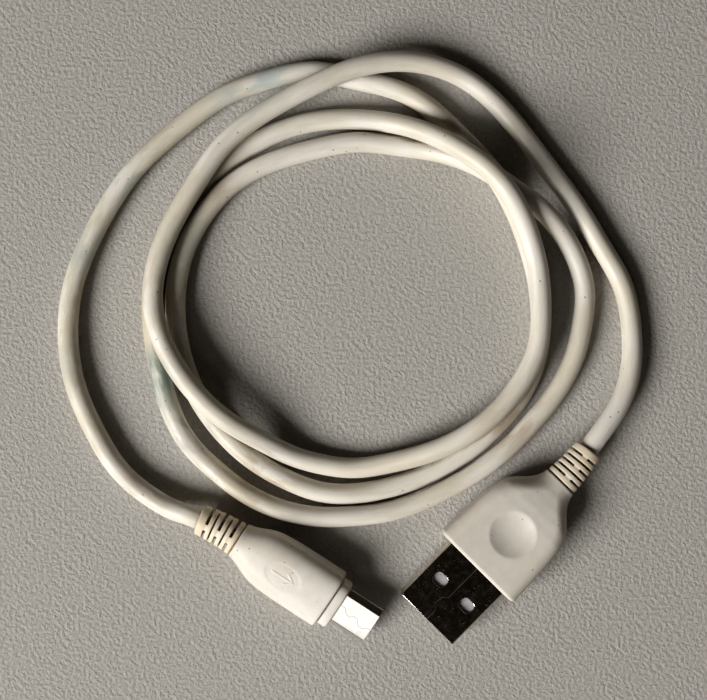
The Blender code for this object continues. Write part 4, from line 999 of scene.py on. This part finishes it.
def make_b_grip(look):
    low, high = B_EMBLEM_BEHIND - B_EMBLEM[0] - 0.3, B_EMBLEM_BEHIND + B_EMBLEM[0] + 0.3
    stations = np.concatenate([np.linspace(B_GRIP_SECTIONS[0][0], low, 16, endpoint=False),
                               np.linspace(low, high, 84, endpoint=False),
                               np.linspace(high, B_GRIP_SECTIONS[-1][0], 30)])
    rows = grip_rows(B_GRIP_SECTIONS, B_GRIP_EDGE, stations)
    count, crowding = 200, 0.55
    collar = squircle(B_COLLAR_SIZE[0] - 0.3 * MM, B_COLLAR_SIZE[1] - 0.3 * MM, B_COLLAR_SQUARENESS,
                      count, crowding)
    rings = [at_x(B_GRIP_FRONT - 1.0 * MM, collar), at_x(B_GRIP_FRONT - 0.15 * MM, collar)]
    for behind, width, height, power in rows:
        rings.append(at_x(B_GRIP_FRONT - behind * MM,
                          squircle(width * MM, height * MM, power, count, crowding)))
    for inset, behind in ((0.12, 0.05), (0.5, 0.08), (2.2, 0.0)):
        rings.append(at_x(B_GRIP_BACK - behind * MM, squircle(
            (rows[-1][1] - inset) * MM, (rows[-1][2] - inset) * MM, 2.0, count, crowding)))
    verts, faces = skin(rings)
    points = np.array(verts)
    x = (B_GRIP_FRONT - points[:, 0]) / MM - B_EMBLEM_BEHIND
    raised = emblem_height(x, points[:, 1] / MM)
    inside = (np.abs(x) < B_EMBLEM[0] + 0.4) & (points[:, 2] > 1.5 * MM)
    points[:, 2] += np.where(inside, raised, 0.0) * MM
    piece = make_piece("micro_grip", points, faces, look, micro_plug_frame(),
                       ["micro_b_grip"], sharp=60)
    # packed dirt and painted shade where the grip meets the collar
    values = np.zeros(len(verts), np.float32)
    values[:2 * count] = GROOVE_DIRT_AND_SHADE
    set_dirt_and_shade(piece, values)
    return piece


# ----- pieces kept from the model

KEPT_LOOKS = {"insulator": "insulator", "contact": "gold", "inner_mould": "mould", "jacket_end": "mould",
              "latch": "clean_steel", **{f"lead_{colour}": colour for colour in CORE_COLOURS}}
SOFT_EDGED = ("insulator", "contact", "latch")


def finish_kept_nodes(looks):
    """Gives the model's own pieces their finish, and those near a mouth softened edges."""
    for name, node in NODES.items():
        if node.hide_render:
            continue
        key = next((look for part, look in KEPT_LOOKS.items() if part in name), "steel")
        node.data.materials.clear()
        node.data.materials.append(looks[key])
        if any(part in name for part in SOFT_EDGED):
            weld = node.modifiers.new("weld", "WELD")
            weld.merge_threshold = 1e-6
            bevel(node, 0.03 * MM, 2)


# ----- studio

def make_floor(look):
    mesh = bpy.data.meshes.new("floor")
    corners = rectangle(-FLOOR_HALF, FLOOR_HALF, -FLOOR_HALF, FLOOR_HALF)
    mesh.from_pydata([(x, y, 0) for x, y in corners], [], [(0, 1, 2, 3)])
    mesh.materials.append(look)
    floor = link("floor", mesh)


def make_softbox(name, way, size, power):
    """A round soft light that looks at the winding from that way."""
    data = bpy.data.lights.new(name, "AREA")
    data.shape = "DISK"
    data.size = size
    data.energy = power
    data.color = LIGHT_COLOUR
    aim = way.to_track_quat("Z", "Y").to_matrix().to_4x4()
    place = winding_frame() @ Matrix.Translation(way.normalized() * LIGHT_DISTANCE) @ aim
    link(name, data, place).visible_camera = False


def make_world():
    """Soft fill from low down all round; it is dark straight above, where the polished shell looks."""
    world = bpy.data.worlds.new("studio")
    bpy.context.scene.world = world
    world.use_nodes = True
    tree = world.node_tree
    shade = tree.nodes["Background"]
    direction = tree.nodes.new("ShaderNodeTexCoord")
    split = tree.nodes.new("ShaderNodeSeparateXYZ")
    ramp = tree.nodes.new("ShaderNodeValToRGB")
    tree.links.new(direction.outputs["Generated"], split.inputs[0])
    tree.links.new(split.outputs["Z"], ramp.inputs[0])
    tree.links.new(ramp.outputs[0], shade.inputs["Color"])
    warm = (1.0, 0.82, 0.60)
    stops = [(0.0, 0.07), (0.18, 0.055), (0.36, 0.020), (0.72, 0.014), (0.93, 0.009)]
    for at, _ in stops[1:-1]:
        ramp.color_ramp.elements.new(at)
    for element, (at, level) in zip(ramp.color_ramp.elements, stops):
        element.position = at
        element.color = (*[level * tint for tint in warm], 1.0)


def make_camera():
    data = bpy.data.cameras.new("camera")
    data.lens = LENS
    data.sensor_width = SENSOR
    data.clip_start = 0.01
    place = winding_frame() @ Matrix.Translation((0.0, 0.0, CAMERA_HEIGHT))
    bpy.context.scene.camera = link("camera", data, place)


def main():
    looks = make_materials()
    make_camera()
    lead, path, leaves_at = make_lead(looks["jacket"])
    make_relief("full_size_relief", looks["relief"], full_size_plug_frame(), "usb_a_strain_relief",
                A_RELIEF_LENGTH - GAP, A_RELIEF_D, A_RELIEF_TURN, A_GRIP_BACK - GAP,
                A_RELIEF_SLOTS)
    make_a_grip(looks["grip"])
    make_a_shell(looks["steel"], looks["dust"])
    relief = make_relief("micro_relief", looks["relief"], micro_plug_frame(), "micro_b_strain_relief",
                         B_RELIEF_LENGTH, B_RELIEF_D, B_RELIEF_TURN, B_GRIP_BACK - GAP,
                         B_RELIEF_SLOTS)
    grip = make_b_grip(looks["cream"])
    collar = make_b_collar(looks["cream"])
    shell = make_b_shell(looks["clean_steel"], looks["dust"])
    finish_kept_nodes(looks)
    tuple(leaves_at)
    [tuple(p) for p in path]
    make_floor(floor_cloth())
    make_softbox("key", KEY_FROM, KEY_SIZE, KEY_POWER)
    make_softbox("glow", GLOW_FROM, GLOW_SIZE, GLOW_POWER)
    make_world()
    bpy.context.scene.view_settings.view_transform = "Standard"
    bpy.context.scene.view_settings.look = "Medium High Contrast"


main()
